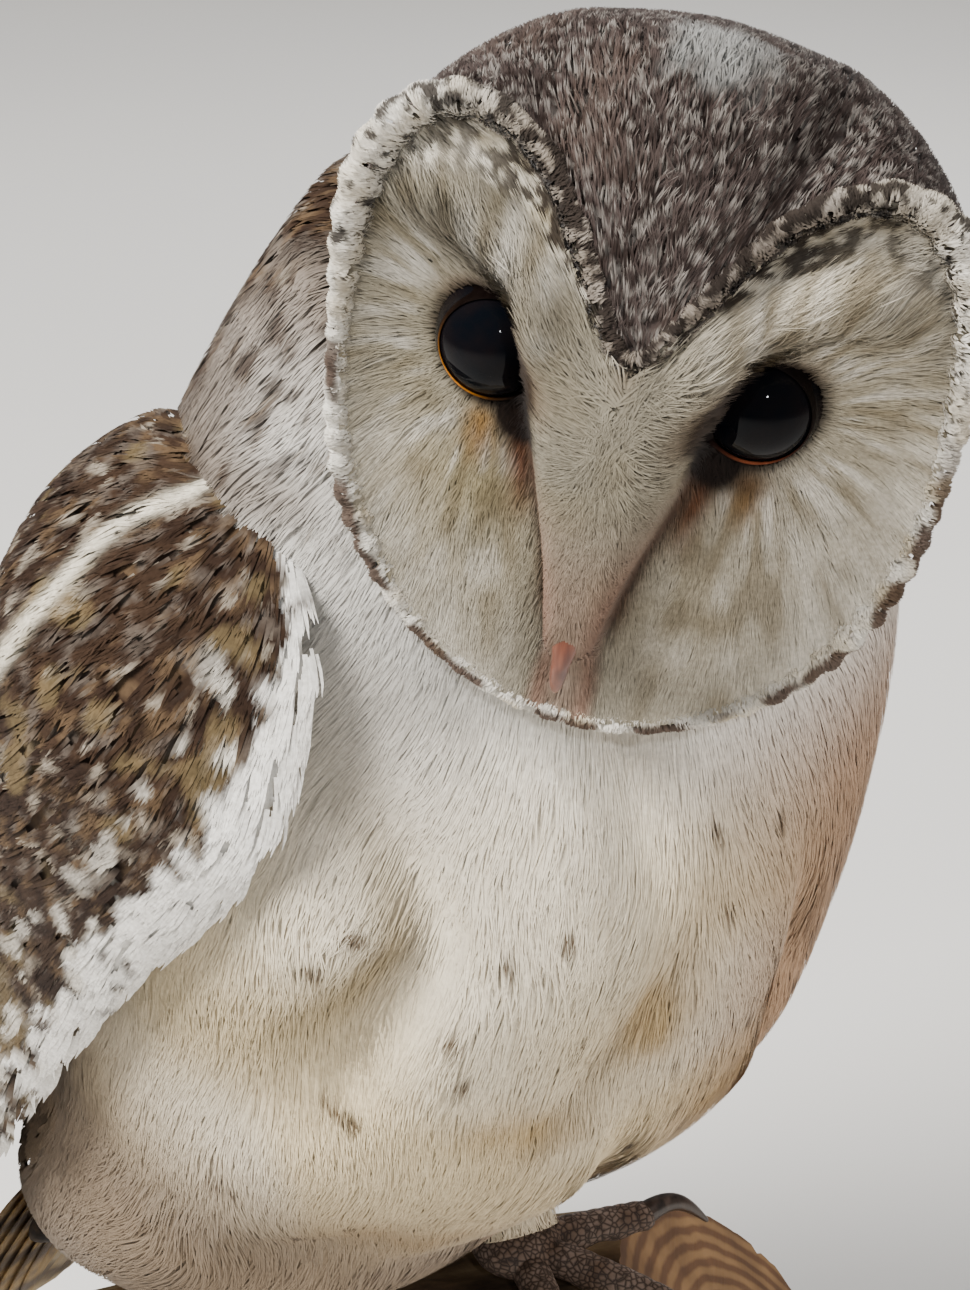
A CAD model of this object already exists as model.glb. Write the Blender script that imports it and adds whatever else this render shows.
# %% [markdown]
# # A mounted barn owl on a log
#
# This lesson dresses the plain solids of a mounted barn owl in skin, feathers, glass, horn and
# bark. A hair system would vanish when the model is exported, so each feather is a little mesh,
# and numpy lays tens of thousands of them at once. Shapes are worked out in millimetres, and
# turned to metres only when they become meshes.

import bmesh
import bpy
import numpy as np
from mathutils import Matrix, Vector


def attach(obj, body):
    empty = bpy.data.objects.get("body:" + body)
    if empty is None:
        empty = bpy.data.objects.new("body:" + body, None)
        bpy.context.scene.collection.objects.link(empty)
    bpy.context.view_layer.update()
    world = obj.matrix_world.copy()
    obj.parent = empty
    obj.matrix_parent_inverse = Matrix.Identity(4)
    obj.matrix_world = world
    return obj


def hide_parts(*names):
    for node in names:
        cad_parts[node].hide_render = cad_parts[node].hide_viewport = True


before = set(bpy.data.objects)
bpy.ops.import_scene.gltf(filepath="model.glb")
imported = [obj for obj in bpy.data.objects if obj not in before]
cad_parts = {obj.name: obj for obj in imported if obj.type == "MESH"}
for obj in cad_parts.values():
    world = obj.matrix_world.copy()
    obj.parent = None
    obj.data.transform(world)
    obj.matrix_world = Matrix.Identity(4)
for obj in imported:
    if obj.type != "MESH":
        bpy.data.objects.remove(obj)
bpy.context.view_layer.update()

MM = 0.001
TAU = 2 * np.pi
SIDES = ((1, "left"), (-1, "right"))  # the owl's own sides, by the sign of x

# %% [markdown]
# ## Small tools for curves and noise
#
# Short tables describe the owl's body: a row gives sizes at one height, and a smooth curve runs
# through the rows. Markings come from noise computed here rather than in a shader, so that skin
# and feathers share one pattern.

# %% Curves and steps
def smooth(x, start, end):
    """0 before start, 1 after end, and an S-shaped rise 3t^2 - 2t^3 between them."""
    t = np.clip((x - start) / (end - start), 0, 1)
    return t * t * (3 - 2 * t)


def bump(x, width):
    """A bell: 1 at x = 0, falling as exp(-(x / width)^2)."""
    return np.exp(-((x / width) ** 2))


def smooth_turn(angle, start, end):
    """The same S-shaped rise between two angles given in degrees."""
    return smooth(angle, np.radians(start), np.radians(end))


def bump_turn(angle, middle, width):
    """The same bell about an angle given in degrees."""
    return bump(angle - np.radians(middle), np.radians(width))


def blend(low, high, share):
    """The value at a share of the way from low to high."""
    return low + (high - low) * share


def along(table, h):
    """Each column of a table read at heights h: cubic Hermite curves whose slope at a row is
    the rise between that row's two neighbours over their distance."""
    rows = np.array(sorted(table), float)
    x = rows[:, 0]
    before = np.maximum(np.arange(len(x)) - 1, 0)
    after = np.minimum(np.arange(len(x)) + 1, len(x) - 1)
    slopes = (rows[after] - rows[before]) / (x[after] - x[before])[:, None]
    h = np.clip(h, x[0], x[-1])
    k = np.clip(np.searchsorted(x, h) - 1, 0, len(x) - 2)
    span = x[k + 1] - x[k]
    t = (h - x[k]) / span
    columns = []
    for c in range(1, rows.shape[1]):
        columns.append(
            (2 * t**3 - 3 * t**2 + 1) * rows[k, c]
            + (t**3 - 2 * t**2 + t) * span * slopes[k, c]
            + (3 * t**2 - 2 * t**3) * rows[k + 1, c]
            + (t**3 - t**2) * span * slopes[k + 1, c]
        )
    return columns


def arched(rise, share):
    """A parabola over shares 0 to 1 that is 0 at both ends and reaches rise in the middle."""
    return rise * 4 * share * (1 - share)


def rounded(share, power):
    """A rounded end: the square root of 1 - share^power, so 1 at share 0 and nothing at 1."""
    return np.sqrt(np.clip(1 - share**power, 0, 1))


def closing(from_end, cap):
    """How full a form is near its end: a quarter of an ellipse that reaches 1 at distance cap."""
    return rounded(1 - np.clip(from_end / cap, 0, 1), 2)


# %% Noise on whole arrays
def scramble(*numbers):
    """A fixed random number from 0 to 1 for each row of whole numbers, by mixing their bits."""
    mixed = np.zeros(np.broadcast(*numbers).shape, np.uint64)
    for number in numbers:
        mixed = (mixed ^ np.asarray(number).astype(np.int64).astype(np.uint64)) * np.uint64(
            0x9E3779B97F4A7C15
        )
        mixed ^= mixed >> np.uint64(29)
    mixed *= np.uint64(0xBF58476D1CE4E5B9)
    mixed ^= mixed >> np.uint64(32)
    return (mixed >> np.uint64(11)).astype(float) / float(1 << 53)


def noise(points, size, seed=0):
    """Smooth noise from 0 to 1 with blobs about `size` across: random values at the corners of
    a lattice, blended across each cell by the S-curve."""
    places = np.asarray(points, float) / size
    cell = np.floor(places)
    t = places - cell
    t = t * t * (3 - 2 * t)
    total = 0
    for corner in range(8):
        step = np.array([corner & 1, corner >> 1 & 1, corner >> 2 & 1])
        share = np.prod(np.where(step == 1, t, 1 - t), axis=-1)
        at = cell + step
        total = total + share * scramble(at[..., 0], at[..., 1], at[..., 2], seed)
    return total


def paint(code):
    """A colour code such as #e6e2da as linear red, green and blue."""
    channels = np.array([int(code[k : k + 2], 16) for k in (1, 3, 5)]) / 255
    return np.where(channels > 0.04045, ((channels + 0.055) / 1.055) ** 2.4, channels / 12.92)


def all_over(code, points):
    """One colour code at every point."""
    return np.broadcast_to(paint(code), points.shape)


def tint(colours, *layers):
    """Colours with layers laid over them one after another. A layer is a colour code and, for
    each point, the share by which the colours are blended towards it."""
    for code, share in layers:
        colours = colours + (paint(code) - colours) * np.asarray(share)[..., None]
    return colours


def flecks(points, size, seed, start, full):
    """Flecks of noise cut off at a level: 0 where it is under start, 1 where it is over full."""
    return smooth(noise(points, size, seed), start, full)


# %% [markdown]
# ## The owl's form
#
# Skin and feathers sit on the same surfaces as the solids: an oval trunk that leans forward, two
# folded wings, and a head with a heart-shaped face. Each is a function of two parameters and a
# height over the feathers' outline. The skin is the same function read a few millimetres lower,
# and a feather climbs from one to the other.

# %% Body and wings
BODY_LEAN = np.radians(23)
BODY_PLACE = np.array([0, 6, 128])

# height along the spine, half width, front depth, back depth, shift to the front
TRUNK = [
    (-80, 16, 8, 9, -38),
    (-60, 28, 13, 18, -27),
    (-40, 40, 21, 30, -16),
    (-20, 47, 34, 40, -5),
    (-4, 50, 38, 44, 0),
    (12, 52, 42, 46, 0),
    (28, 56, 50, 48, 0),
    (50, 59, 58, 50, 0),
    (80, 60, 57, 53, 0),
    (105, 59, 52, 56, 0),
    (125, 57, 45, 56, 0),
    (145, 51, 36, 54, 0),
    (165, 43, 27, 50, 0),
    (178, 36, 22, 45, 0),
]
TRUNK_ROUND = 2.3
TRUNK_CAP = 16
# the hollow under the chin, and the heights where it starts and where it is full
HOLLOW_DEPTH = 24
HOLLOW_ANGLE = np.radians(-58)
HOLLOW_WIDTH = np.radians(46)
HOLLOW_HEIGHTS = (94, 124)

# height along the spine, leading edge (x, front), trailing edge (x, front), bulge, thickness
WING = [
    (136, 40, -4, 34, -40, 3, 6),
    (120, 52, 8, 36, -52, 12, 10),
    (104, 60, 15, 37, -59, 17, 12),
    (65, 66, 3, 30, -61, 17, 12),
    (20, 63, -10, 20, -58, 17, 11),
    (-22, 54, -22, 10, -56, 14, 9),
    (-60, 41, -33, 5, -56, 9, 8),
    (-98, 28, -42, 3, -58, 5, 6),
    (-128, 16, -50, 2.5, -61, 2, 4),
    (-146, 7, -56, 3, -62, 0.5, 3),
]
WING_CAP = 13
WING_SECTION = 4  # power of the wing's lens-shaped section


def body_to_world(x, front, h):
    """Points of the leaning body: x to the owl's left, front towards its breast, h up the
    spine, turned about the x axis by the lean and moved to the body's place."""
    c = np.cos(BODY_LEAN)
    s = np.sin(BODY_LEAN)
    return np.stack(np.broadcast_arrays(x, -front * c - h * s, h * c - front * s), -1) + BODY_PLACE


def world_to_body(points):
    """The same turn the other way: x, front and h of points."""
    c = np.cos(BODY_LEAN)
    s = np.sin(BODY_LEAN)
    p = points - BODY_PLACE
    return p[..., 0], -p[..., 1] * c - p[..., 2] * s, p[..., 2] * c - p[..., 1] * s


def trunk_radius(angle, h, height=0.0):
    """Distance from the spine to the outline: an oval of power TRUNK_ROUND, less a bell-shaped
    hollow where the chin rests on the neck."""
    width, front, back, _ = along(TRUNK, h)
    c = np.cos(angle)
    s = np.sin(angle)
    depth = np.where(c > 0, front, back) + height
    oval = (np.abs(s) / (width + height)) ** TRUNK_ROUND + (np.abs(c) / depth) ** TRUNK_ROUND
    aside = 2 * np.sin((angle - HOLLOW_ANGLE) / 2)
    hollow = HOLLOW_DEPTH * bump(aside, HOLLOW_WIDTH) * smooth(h, *HOLLOW_HEIGHTS)
    return oval ** (-1 / TRUNK_ROUND) - hollow


# %% [markdown]
# ## Folds of the breast
#
# Old down settles into soft folds: two lobes under the face with a cleft between them, a crease
# beside the wing, gathers above the legs. As bells added to the trunk's radius they are easy to
# move.

# %% The trunk's surface, with its folds
# each fold: across (x) and height of its middle, reach across, reach up, slant, rise
FOLDS = [
    (-40, 128, 13, 26, 0.25, 2.2),
    (16, 122, 22, 14, -0.25, 2.0),
    (-14, 122, 4.5, 18, 0.1, -6.0),
    (-50, 86, 4.5, 34, 0.22, -6.0),
    (-30, 92, 9, 26, 0.35, 1.2),
    (-17, 84, 6, 22, 0.55, -2.2),
    (0, 80, 10, 26, 0.15, 1.8),
    (20, 76, 4, 26, -0.2, -3.4),
    (-26, 44, 14, 26, -0.3, 1.8),
    (-6, 34, 4.5, 26, -0.25, -4.0),
    (18, 34, 12, 24, 0.2, 1.6),
    (34, 20, 5, 24, 0.25, -3.2),
    (-40, 14, 6, 24, 0.15, -3.2),
]
FOLD_MOST = 0.6  # no fold rises further than this over the plain oval
BREAST_FROM = -0.1  # cosines of the angle between which the folds fade in
BREAST_FULL = 0.35


def folds(x, h):
    """Rise of the plumage over the plain oval at x and h on the breast: a sum of long bells,
    each turned by its slant."""
    total = 0
    for middle, level, wide, tall, slant, rise in FOLDS:
        up = h - level
        total = total + rise * bump(x - middle - slant * up, wide) * bump(up, tall)
    return total


def trunk_surface(angle, h, height=0.0):
    """World points of the trunk: angle from the breast towards the owl's left, h up the spine."""
    low = TRUNK[0][0] - height
    high = TRUNK[-1][0] + height
    full = closing(np.minimum(h - low, high - h), TRUNK_CAP)
    shift = along(TRUNK, h)[3]
    reach = trunk_radius(angle, h, height) * full
    x = reach * np.sin(angle)
    front_side = smooth(np.cos(angle), BREAST_FROM, BREAST_FULL)
    fold = np.minimum(folds(x, h), FOLD_MOST) * front_side * full
    x = x + fold * np.sin(angle)
    return body_to_world(x, shift + (reach + fold) * np.cos(angle), h)


def wing_section(h):
    """Leading edge, unit chord, unit outward direction, width, bulge and thickness at h."""
    lead_x, lead_f, trail_x, trail_f, bulge, thick = along(WING, h)
    chord = np.stack([trail_x - lead_x, trail_f - lead_f], -1)
    wide = np.linalg.norm(chord, axis=-1)
    chord = chord / wide[..., None]
    out = np.stack([-chord[..., 1], chord[..., 0]], -1)
    return np.stack([lead_x, lead_f], -1), chord, out, wide, bulge, thick


def wing_surface(sign, outside=1.0):
    """The wing's outer (or inner) face by c, 0 at the leading edge and 1 at the trailing one,
    and h: an arched chord with half the wing's thickness added. Past an edge it folds over to
    the other face."""

    def surface(c, h, height=0.0):
        """World points of this face of this wing."""
        edge, chord, out, wide, bulge, thick = wing_section(h)
        face = np.where((c < 0) | (c > 1), -outside, outside)
        c = 1 - np.abs(1 - np.abs(c))
        full = closing(np.minimum(h - WING[-1][0], WING[0][0] - h), WING_CAP)
        across = 0.5 + (c - 0.5) * full
        step = across * (wide + 2 * height) - height
        half = (thick / 2 + height) * rounded(2 * c - 1, WING_SECTION) * full
        off = arched(bulge, step / wide) + face * half
        flat = edge + chord * step[..., None] + out * off[..., None]
        return body_to_world(sign * flat[..., 0], flat[..., 1], h)

    return surface


def inside_trunk(points, margin=0.0):
    """True where a point lies inside the trunk by more than a margin."""
    x, front, h = world_to_body(points)
    shift = along(TRUNK, h)[3]
    angle = np.arctan2(x, front - shift)
    reach = np.hypot(x, front - shift)
    full = closing(np.minimum(h - TRUNK[0][0], TRUNK[-1][0] - h), TRUNK_CAP)
    return (reach < trunk_radius(angle, h) * full - margin) & (h > TRUNK[0][0]) & (h < TRUNK[-1][0])


def inside_wing(points, sign, margin=0.0):
    """True where a point lies inside a wing by more than a margin, and not near its ends."""
    x, front, h = world_to_body(points)
    edge, chord, out, wide, bulge, thick = wing_section(h)
    away = np.stack([sign * x, front], -1) - edge
    step = np.sum(away * chord, -1)
    share = step / wide
    off = np.sum(away * out, -1) - arched(bulge, share)
    half = thick / 2 * rounded(2 * share - 1, WING_SECTION)
    from_end = np.minimum(h - WING[-1][0], WING[0][0] - h)
    return (np.abs(off) < half - margin) & (from_end > 4)


# %% [markdown]
# ## The head
#
# A barn owl's face is a heart: two lobes over the eyes, a notch between them, and a narrow
# feathered ridge that hides all of the bill but its tip. The rim is a formula in the angle from
# straight up, the ridge is a table, and the skull is an oval that closes behind.

# %% Face and skull
HEAD_PIVOT = np.array([-1, -62, 282])
HEAD_TURN = np.radians(-55)
HEAD_NOD = np.radians(2)
HEAD_TILT = np.radians(10.8)
EYE_LINE = np.array([0, -32, 5])
DISC_MIDDLE = -6
DISC_RADIUS = 41.9
DISC_OVAL = 3
NOTCH_DEPTH = 30.5
NOTCH_WIDTH = np.radians(25.5)
LOBE_HEIGHT = 5.5
LOBE_ANGLE = np.radians(49)
LOBE_WIDTH = np.radians(24)
DISC_LEAN = 2.6
# the face's dish falls off with the square of the distance, across and up
DISH_ACROSS = 0.0062
DISH_UP = 0.0026
# a socket round each eye, a channel beside the ridge, and a dip and a roll at the rim
SOCKET_DEPTH = 2.4
SOCKET_WIDTH = 9
CHANNEL_DEPTH = 1.6
CHANNEL_FROM_MIDDLE = 11
CHANNEL_WIDTH = 5
RIM_DEPTH = 2.2
RIM_DIP_AT = 0.74  # share of the way to the rim
RIM_DIP_WIDTH = 0.2
RIM_ROLL_WIDTH = 0.08
SKULL_RADIUS = 43.5
SKULL_RISE = 4.5
SKULL_DEPTH = 64
SKULL_ROUND = 2.3
FOREHEAD_RUN = 30
# height on the face, how far the ridge stands forward, its half width
RIDGE = [
    (36, 0, 13),
    (22, 5, 13),
    (10, 10.5, 13),
    (4, 13, 12.6),
    (-4, 14.5, 10.6),
    (-14, 16, 8),
    (-22, 17, 5.6),
    (-28, 17, 4.4),
    (-33, 15, 3.8),
    (-37, 8, 3.4),
    (-41, 2.5, 3.4),
    (-46, 0, 4),
]
# distance of the brow from the face's middle, its height there
BROW = [(0, 5), (8, 8.5), (12, 10), (15, 12), (20, 15.3), (24, 16.5), (30, 16.5), (40, 12)]
BROW_RISE = 6.5
BROW_WIDTH = 5.2
EYE_RADIUS = 8
EYE_SPREAD = 17.4
EYE_SHIFT = -0.9
EYE_DEPTH = -7.6
EYE_OPENING = 6.8
LID_WIDTH = 1.0


def turn_about(axis, angle):
    """The 3 x 3 matrix of a turn about the x, y or z axis."""
    c = np.cos(angle)
    s = np.sin(angle)
    j, k = [(1, 2), (2, 0), (0, 1)][axis]
    turn = np.eye(3)
    turn[j, j] = turn[k, k] = c
    turn[k, j] = s
    turn[j, k] = -s
    return turn


HEAD_TURNED = turn_about(2, HEAD_TURN) @ turn_about(1, HEAD_TILT) @ turn_about(0, HEAD_NOD)


def face_to_world(x, depth, z):
    """Points of the face's own frame: x to the owl's left, depth forward, z up from the eyes."""
    local = np.stack(np.broadcast_arrays(x, -depth, z), -1) + EYE_LINE
    return local @ HEAD_TURNED.T + HEAD_PIVOT


def world_to_face(points):
    """The same turn the other way: x, depth and z of points."""
    local = (points - HEAD_PIVOT) @ HEAD_TURNED - EYE_LINE
    return local[..., 0], -local[..., 1], local[..., 2]


def heart(phi):
    """Radius of the disc's rim at an angle from straight up: a slightly oval circle, a lobe on
    each side, a deep notch, and a lower edge that is fuller on the owl's left."""
    off = np.abs(phi)
    return (
        DISC_RADIUS
        + DISC_OVAL * np.cos(2 * phi)
        + LOBE_HEIGHT * bump(off - LOBE_ANGLE, LOBE_WIDTH)
        + DISC_LEAN * np.sin(phi) * (1 - np.cos(phi)) / 2
        - NOTCH_DEPTH * np.exp(-((off / NOTCH_WIDTH) ** 3))
    )


def polar(x, z):
    """Angle from straight up, and share of the way to the rim, of a place on the face."""
    phi = np.arctan2(x, z - DISC_MIDDLE)
    return phi, np.hypot(x, z - DISC_MIDDLE) / heart(phi)


def from_eye(x, z):
    """Distance on the face from the middle of the nearer eye."""
    return np.hypot(np.abs(x - EYE_SHIFT) - EYE_SPREAD, z)


def glass_depth(x, z):
    """How far forward an eye's glass stands at a place on the face, far back beside it."""
    inside = EYE_RADIUS**2 - from_eye(x, z) ** 2
    return np.where(inside > 0, EYE_DEPTH + np.sqrt(np.maximum(inside, 0)), -99.0)


def face_depth(x, z):
    """How far forward the face stands: a dished oval, the steep-sided ridge, a brow over each
    eye, a socket at each eye, a channel beside the ridge and a dip just inside the rim."""
    phi, rho = polar(x, z)
    ridge, wide = along(RIDGE, z)
    off = x - EYE_SHIFT * smooth(z, -20, 0)
    line = along(BROW, np.abs(off))[0]
    brow = BROW_RISE * bump(z - line, BROW_WIDTH) * smooth(np.abs(off), 4, 12)
    brow = brow * (1 - smooth(rho, 0.72, 0.95))
    aside = 1 - bump(phi, np.radians(24))
    eye = from_eye(x, z)
    channel = CHANNEL_DEPTH * bump(np.abs(x) - CHANNEL_FROM_MIDDLE, CHANNEL_WIDTH)
    channel = channel * smooth(z, -38, -26) * smooth(-z, 2, 12)
    return (
        -DISH_ACROSS * x * x
        - DISH_UP * z * z
        + ridge * np.exp(-((off / wide) ** 6))
        + brow
        - SOCKET_DEPTH * bump(eye, SOCKET_WIDTH)
        - channel
        - aside * RIM_DEPTH * bump(rho - RIM_DIP_AT, RIM_DIP_WIDTH)
        + aside * RIM_DEPTH * bump(rho - 1, RIM_ROLL_WIDTH)
    )


def face_surface(x, z, height=0.0):
    """World points of the face, at a height along its own normal, which is (-slope across,
    1, -slope up) made one long. Beyond the rim a point is held at the rim."""
    held = np.maximum(polar(x, z)[1], 1)
    x = x / held
    z = DISC_MIDDLE + (z - DISC_MIDDLE) / held
    e = 0.05
    slope_x = (face_depth(x + e, z) - face_depth(x - e, z)) / (2 * e)
    slope_z = (face_depth(x, z + e) - face_depth(x, z - e)) / (2 * e)
    rise = height / np.sqrt(1 + slope_x**2 + slope_z**2)
    return face_to_world(x - rise * slope_x, face_depth(x, z) + rise, z - rise * slope_z)


def skull_radius(phi, q, run, height=0.0):
    """Radius of the head behind the rim: over the run (0 to 1) of the forehead the heart turns
    into an oval, and as q goes to 1 at the back of the head it closes to nothing."""
    oval = SKULL_RADIUS + SKULL_RISE * np.cos(phi)
    full = blend(heart(phi), oval, np.sin(run * np.pi / 2)) + height
    return full * np.clip(1 - q**SKULL_ROUND, 0, 1) ** (1 / SKULL_ROUND)


def skull_surface(phi, m, height=0.0):
    """World points of the crown, cheeks and nape: m runs from 0 at the disc's rim to 1 at the
    back of the head. Depth follows a sine of m, and the radius the matching oval."""
    rim = heart(phi)
    start = face_depth(rim * np.sin(phi), DISC_MIDDLE + rim * np.cos(phi)) + height
    q = np.sin(m * np.pi / 2)
    depth = blend(start, -SKULL_DEPTH - height, q)
    r = skull_radius(phi, q, np.minimum(1, (start - depth) / FOREHEAD_RUN), height)
    return face_to_world(r * np.sin(phi), depth, blend(DISC_MIDDLE, 0, q) + r * np.cos(phi))


def inside_head(points, margin=0.0):
    """True where a point lies inside the head by more than a margin."""
    x, depth, z = world_to_face(points)
    q = np.clip(-depth / SKULL_DEPTH, 0, 1)
    middle = blend(DISC_MIDDLE, 0, q)
    phi = np.arctan2(x, z - middle)
    r = np.hypot(x, z - middle)
    reach = skull_radius(phi, q, np.clip(-depth / FOREHEAD_RUN, 0, 1))
    behind = (depth <= 0) & (depth > -SKULL_DEPTH)
    before = (depth > 0) & (depth < face_depth(x, z))
    return (r < reach - margin) & (behind | before)


print("middle of the face:", face_to_world(0, face_depth(np.zeros(1), np.zeros(1)), 0).round(1))

# %% [markdown]
# ## The log
#
# The perch is a short branch with rough bark that lies on a worn flat, one end sawn straight and
# the other on a slant. It is a tube whose radius swells slowly.

# %% Log and toes
LOG_RADIUS = 44
LOG_AXIS = 40
LOG_TURN = np.radians(-30)
LOG_REACH_LEFT = 106
LOG_REACH_RIGHT = 112
LOG_TAPER = 0.14
LOG_SWELL = 1.1
LOG_SWELL_RUN = 31
LOG_CUT_AT = np.array([48, 0, 41])
LOG_CUT_FACES = np.array([0.77, -0.28, 0.58])
FOOT_SPREAD = 27
TOE_RADIUS = 3.7
PAD_RADIUS = 8.2
CLAW_LENGTH = 16
CLAW_RADIUS = 2.1
# name, heading outward from straight ahead in degrees, length
TOES = [("inner", -24, 30), ("middle", 24, 34), ("outer", 68, 27), ("hind", 184, 20)]
LOG_TURNED = turn_about(2, LOG_TURN)


def log_radius(distance, angle):
    """Radius at a distance along the log and an angle round it: a taper and a slow swell."""
    to_left = np.maximum(0, distance / LOG_REACH_LEFT)
    swell = LOG_SWELL * np.sin(distance / LOG_SWELL_RUN) * np.cos(2 * angle)
    return LOG_RADIUS * (1 - LOG_TAPER * to_left**2) + swell


def log_to_world(local):
    """Points of the log's own frame: x along its axis, which lies level over the floor."""
    return local @ LOG_TURNED.T + np.array([0, 0, LOG_AXIS])


def on_log(distance, angle, lift):
    """World points over the log, by distance along it, angle from the top and lift."""
    r = log_radius(distance, angle) + lift
    local = np.stack(np.broadcast_arrays(distance, -r * np.sin(angle), r * np.cos(angle)), -1)
    return log_to_world(local)


# %% [markdown]
# ## Making meshes
#
# One function turns arrays of points and faces into a mesh with its colours and its bake map. A
# grid of points becomes faces by index arithmetic, so no loop visits a vertex. The owl doesn't
# move, so every piece rides on the same body.

# %% Meshes from arrays
def added(name, data):
    """A new object in the scene."""
    thing = bpy.data.objects.new(name, data)
    bpy.context.scene.collection.objects.link(thing)
    return thing


def new_piece(name, points, quads, material, colours=None, bake=None, vane=None, normals=None):
    """A mesh object from points in millimetres. colours fill the attribute "markings", bake
    the map OFBake and vane a map across and along each feather. normals say how points are
    shaded where the mesh's own would look too rough."""
    mesh = bpy.data.meshes.new(name)
    mesh.vertices.add(len(points))
    mesh.vertices.foreach_set("co", (np.asarray(points) * MM).astype(np.float32).ravel())
    mesh.loops.add(quads.size)
    mesh.loops.foreach_set("vertex_index", quads.astype(np.int32).ravel())
    mesh.polygons.add(len(quads))
    starts = np.arange(0, quads.size, quads.shape[1], dtype=np.int32)
    mesh.polygons.foreach_set("loop_start", starts)
    mesh.update(calc_edges=True)
    mesh.polygons.foreach_set("use_smooth", np.full(len(quads), True))
    for title, uv in (("OFBake", bake), ("Vane", vane)):
        if uv is not None:
            layer = mesh.uv_layers.new(name=title)
            layer.uv.foreach_set("vector", uv[quads.ravel()].astype(np.float32).ravel())
    if colours is not None:
        layer = mesh.color_attributes.new("markings", "FLOAT_COLOR", "POINT")
        filled = np.concatenate([np.clip(colours, 0, 1), np.ones((len(colours), 1))], 1)
        layer.data.foreach_set("color", filled.astype(np.float32).ravel())
    if normals is not None:
        mesh.normals_split_custom_set_from_vertices(normals)
    mesh.materials.append(material)
    return added(name, mesh)


def grid_quads(rows, columns, wrap=False, ring=False):
    """Faces of a grid of rows x columns points. With wrap the last column joins the first, and
    with ring the last row joins the first as well."""
    r = np.arange(rows if ring else rows - 1)[:, None]
    c = np.arange(columns if wrap else columns - 1)[None, :]
    q = (r + 1) % rows
    d = (c + 1) % columns
    corners = [r * columns + c, r * columns + d, q * columns + d, q * columns + c]
    return np.stack(np.broadcast_arrays(*corners), -1).reshape(-1, 4)


def meshed(points, wrap=True, ring=False):
    """A grid of points as a plain list of them, and the faces between them."""
    return points.reshape(-1, 3), grid_quads(*points.shape[:2], wrap, ring)


def belongs(piece, slot, *solids):
    """Fits a piece to the model: the slot of its colour, and the solids it stands in for."""
    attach(piece, "root")
    if solids:
        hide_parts(*solids)


def outward(piece):
    """Turns a closed mesh's faces outwards, once its doubled points are merged."""
    work = bmesh.new()
    work.from_mesh(piece.data)
    bmesh.ops.remove_doubles(work, verts=work.verts, dist=0.02 * MM)
    bmesh.ops.recalc_face_normals(work, faces=work.faces)
    work.to_mesh(piece.data)
    work.free()
    return piece


def smooth_path(points, shares):
    """Points at shares of the way along a curve through given points: Catmull-Rom pieces over
    the path's own length, and unit directions along it."""
    knots = np.asarray(points, float)
    lengths = np.concatenate([[0], np.cumsum(np.linalg.norm(np.diff(knots, axis=0), axis=1))])
    table = np.column_stack([lengths / lengths[-1], knots])
    places = np.stack(along(table.tolist(), shares), -1)
    heading = np.gradient(places, axis=0)
    return places, heading / np.linalg.norm(heading, axis=1, keepdims=True)


def tube(points, radius_at, rows=40, sides=24, flat=1.0, relief=None):
    """A closed tube along a curve: rings of radius_at(share) square to the path, their side
    axis kept level. relief(share, angle) adds to the radius."""
    shares = (1 - np.cos(np.pi * np.linspace(0, 1, rows))) / 2
    places, heading = smooth_path(points, shares)
    level = np.cross(heading, [0, 0, 1])
    level /= np.maximum(np.linalg.norm(level, axis=1, keepdims=True), 1e-6)
    over = np.cross(level, heading)
    angle = np.linspace(0, TAU, sides, endpoint=False)
    r = radius_at(shares)[:, None] * np.ones(sides)
    if relief is not None:
        r = r + relief(shares[:, None], angle[None, :])
    ring = (
        places[:, None]
        + level[:, None] * (r * np.cos(angle))[..., None]
        + over[:, None] * (flat * r * np.sin(angle))[..., None]
    )
    ring[0] = places[0]
    ring[-1] = places[-1]
    return meshed(ring)


# %% [markdown]
# ## Finishes
#
# Feathers are matt with a slight sheen, and their colour is the markings painted on each vertex,
# broken up by fine noise. Glass, horn, bark and sawn wood have patterns on object coordinates,
# which stay fixed to the piece.

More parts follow.
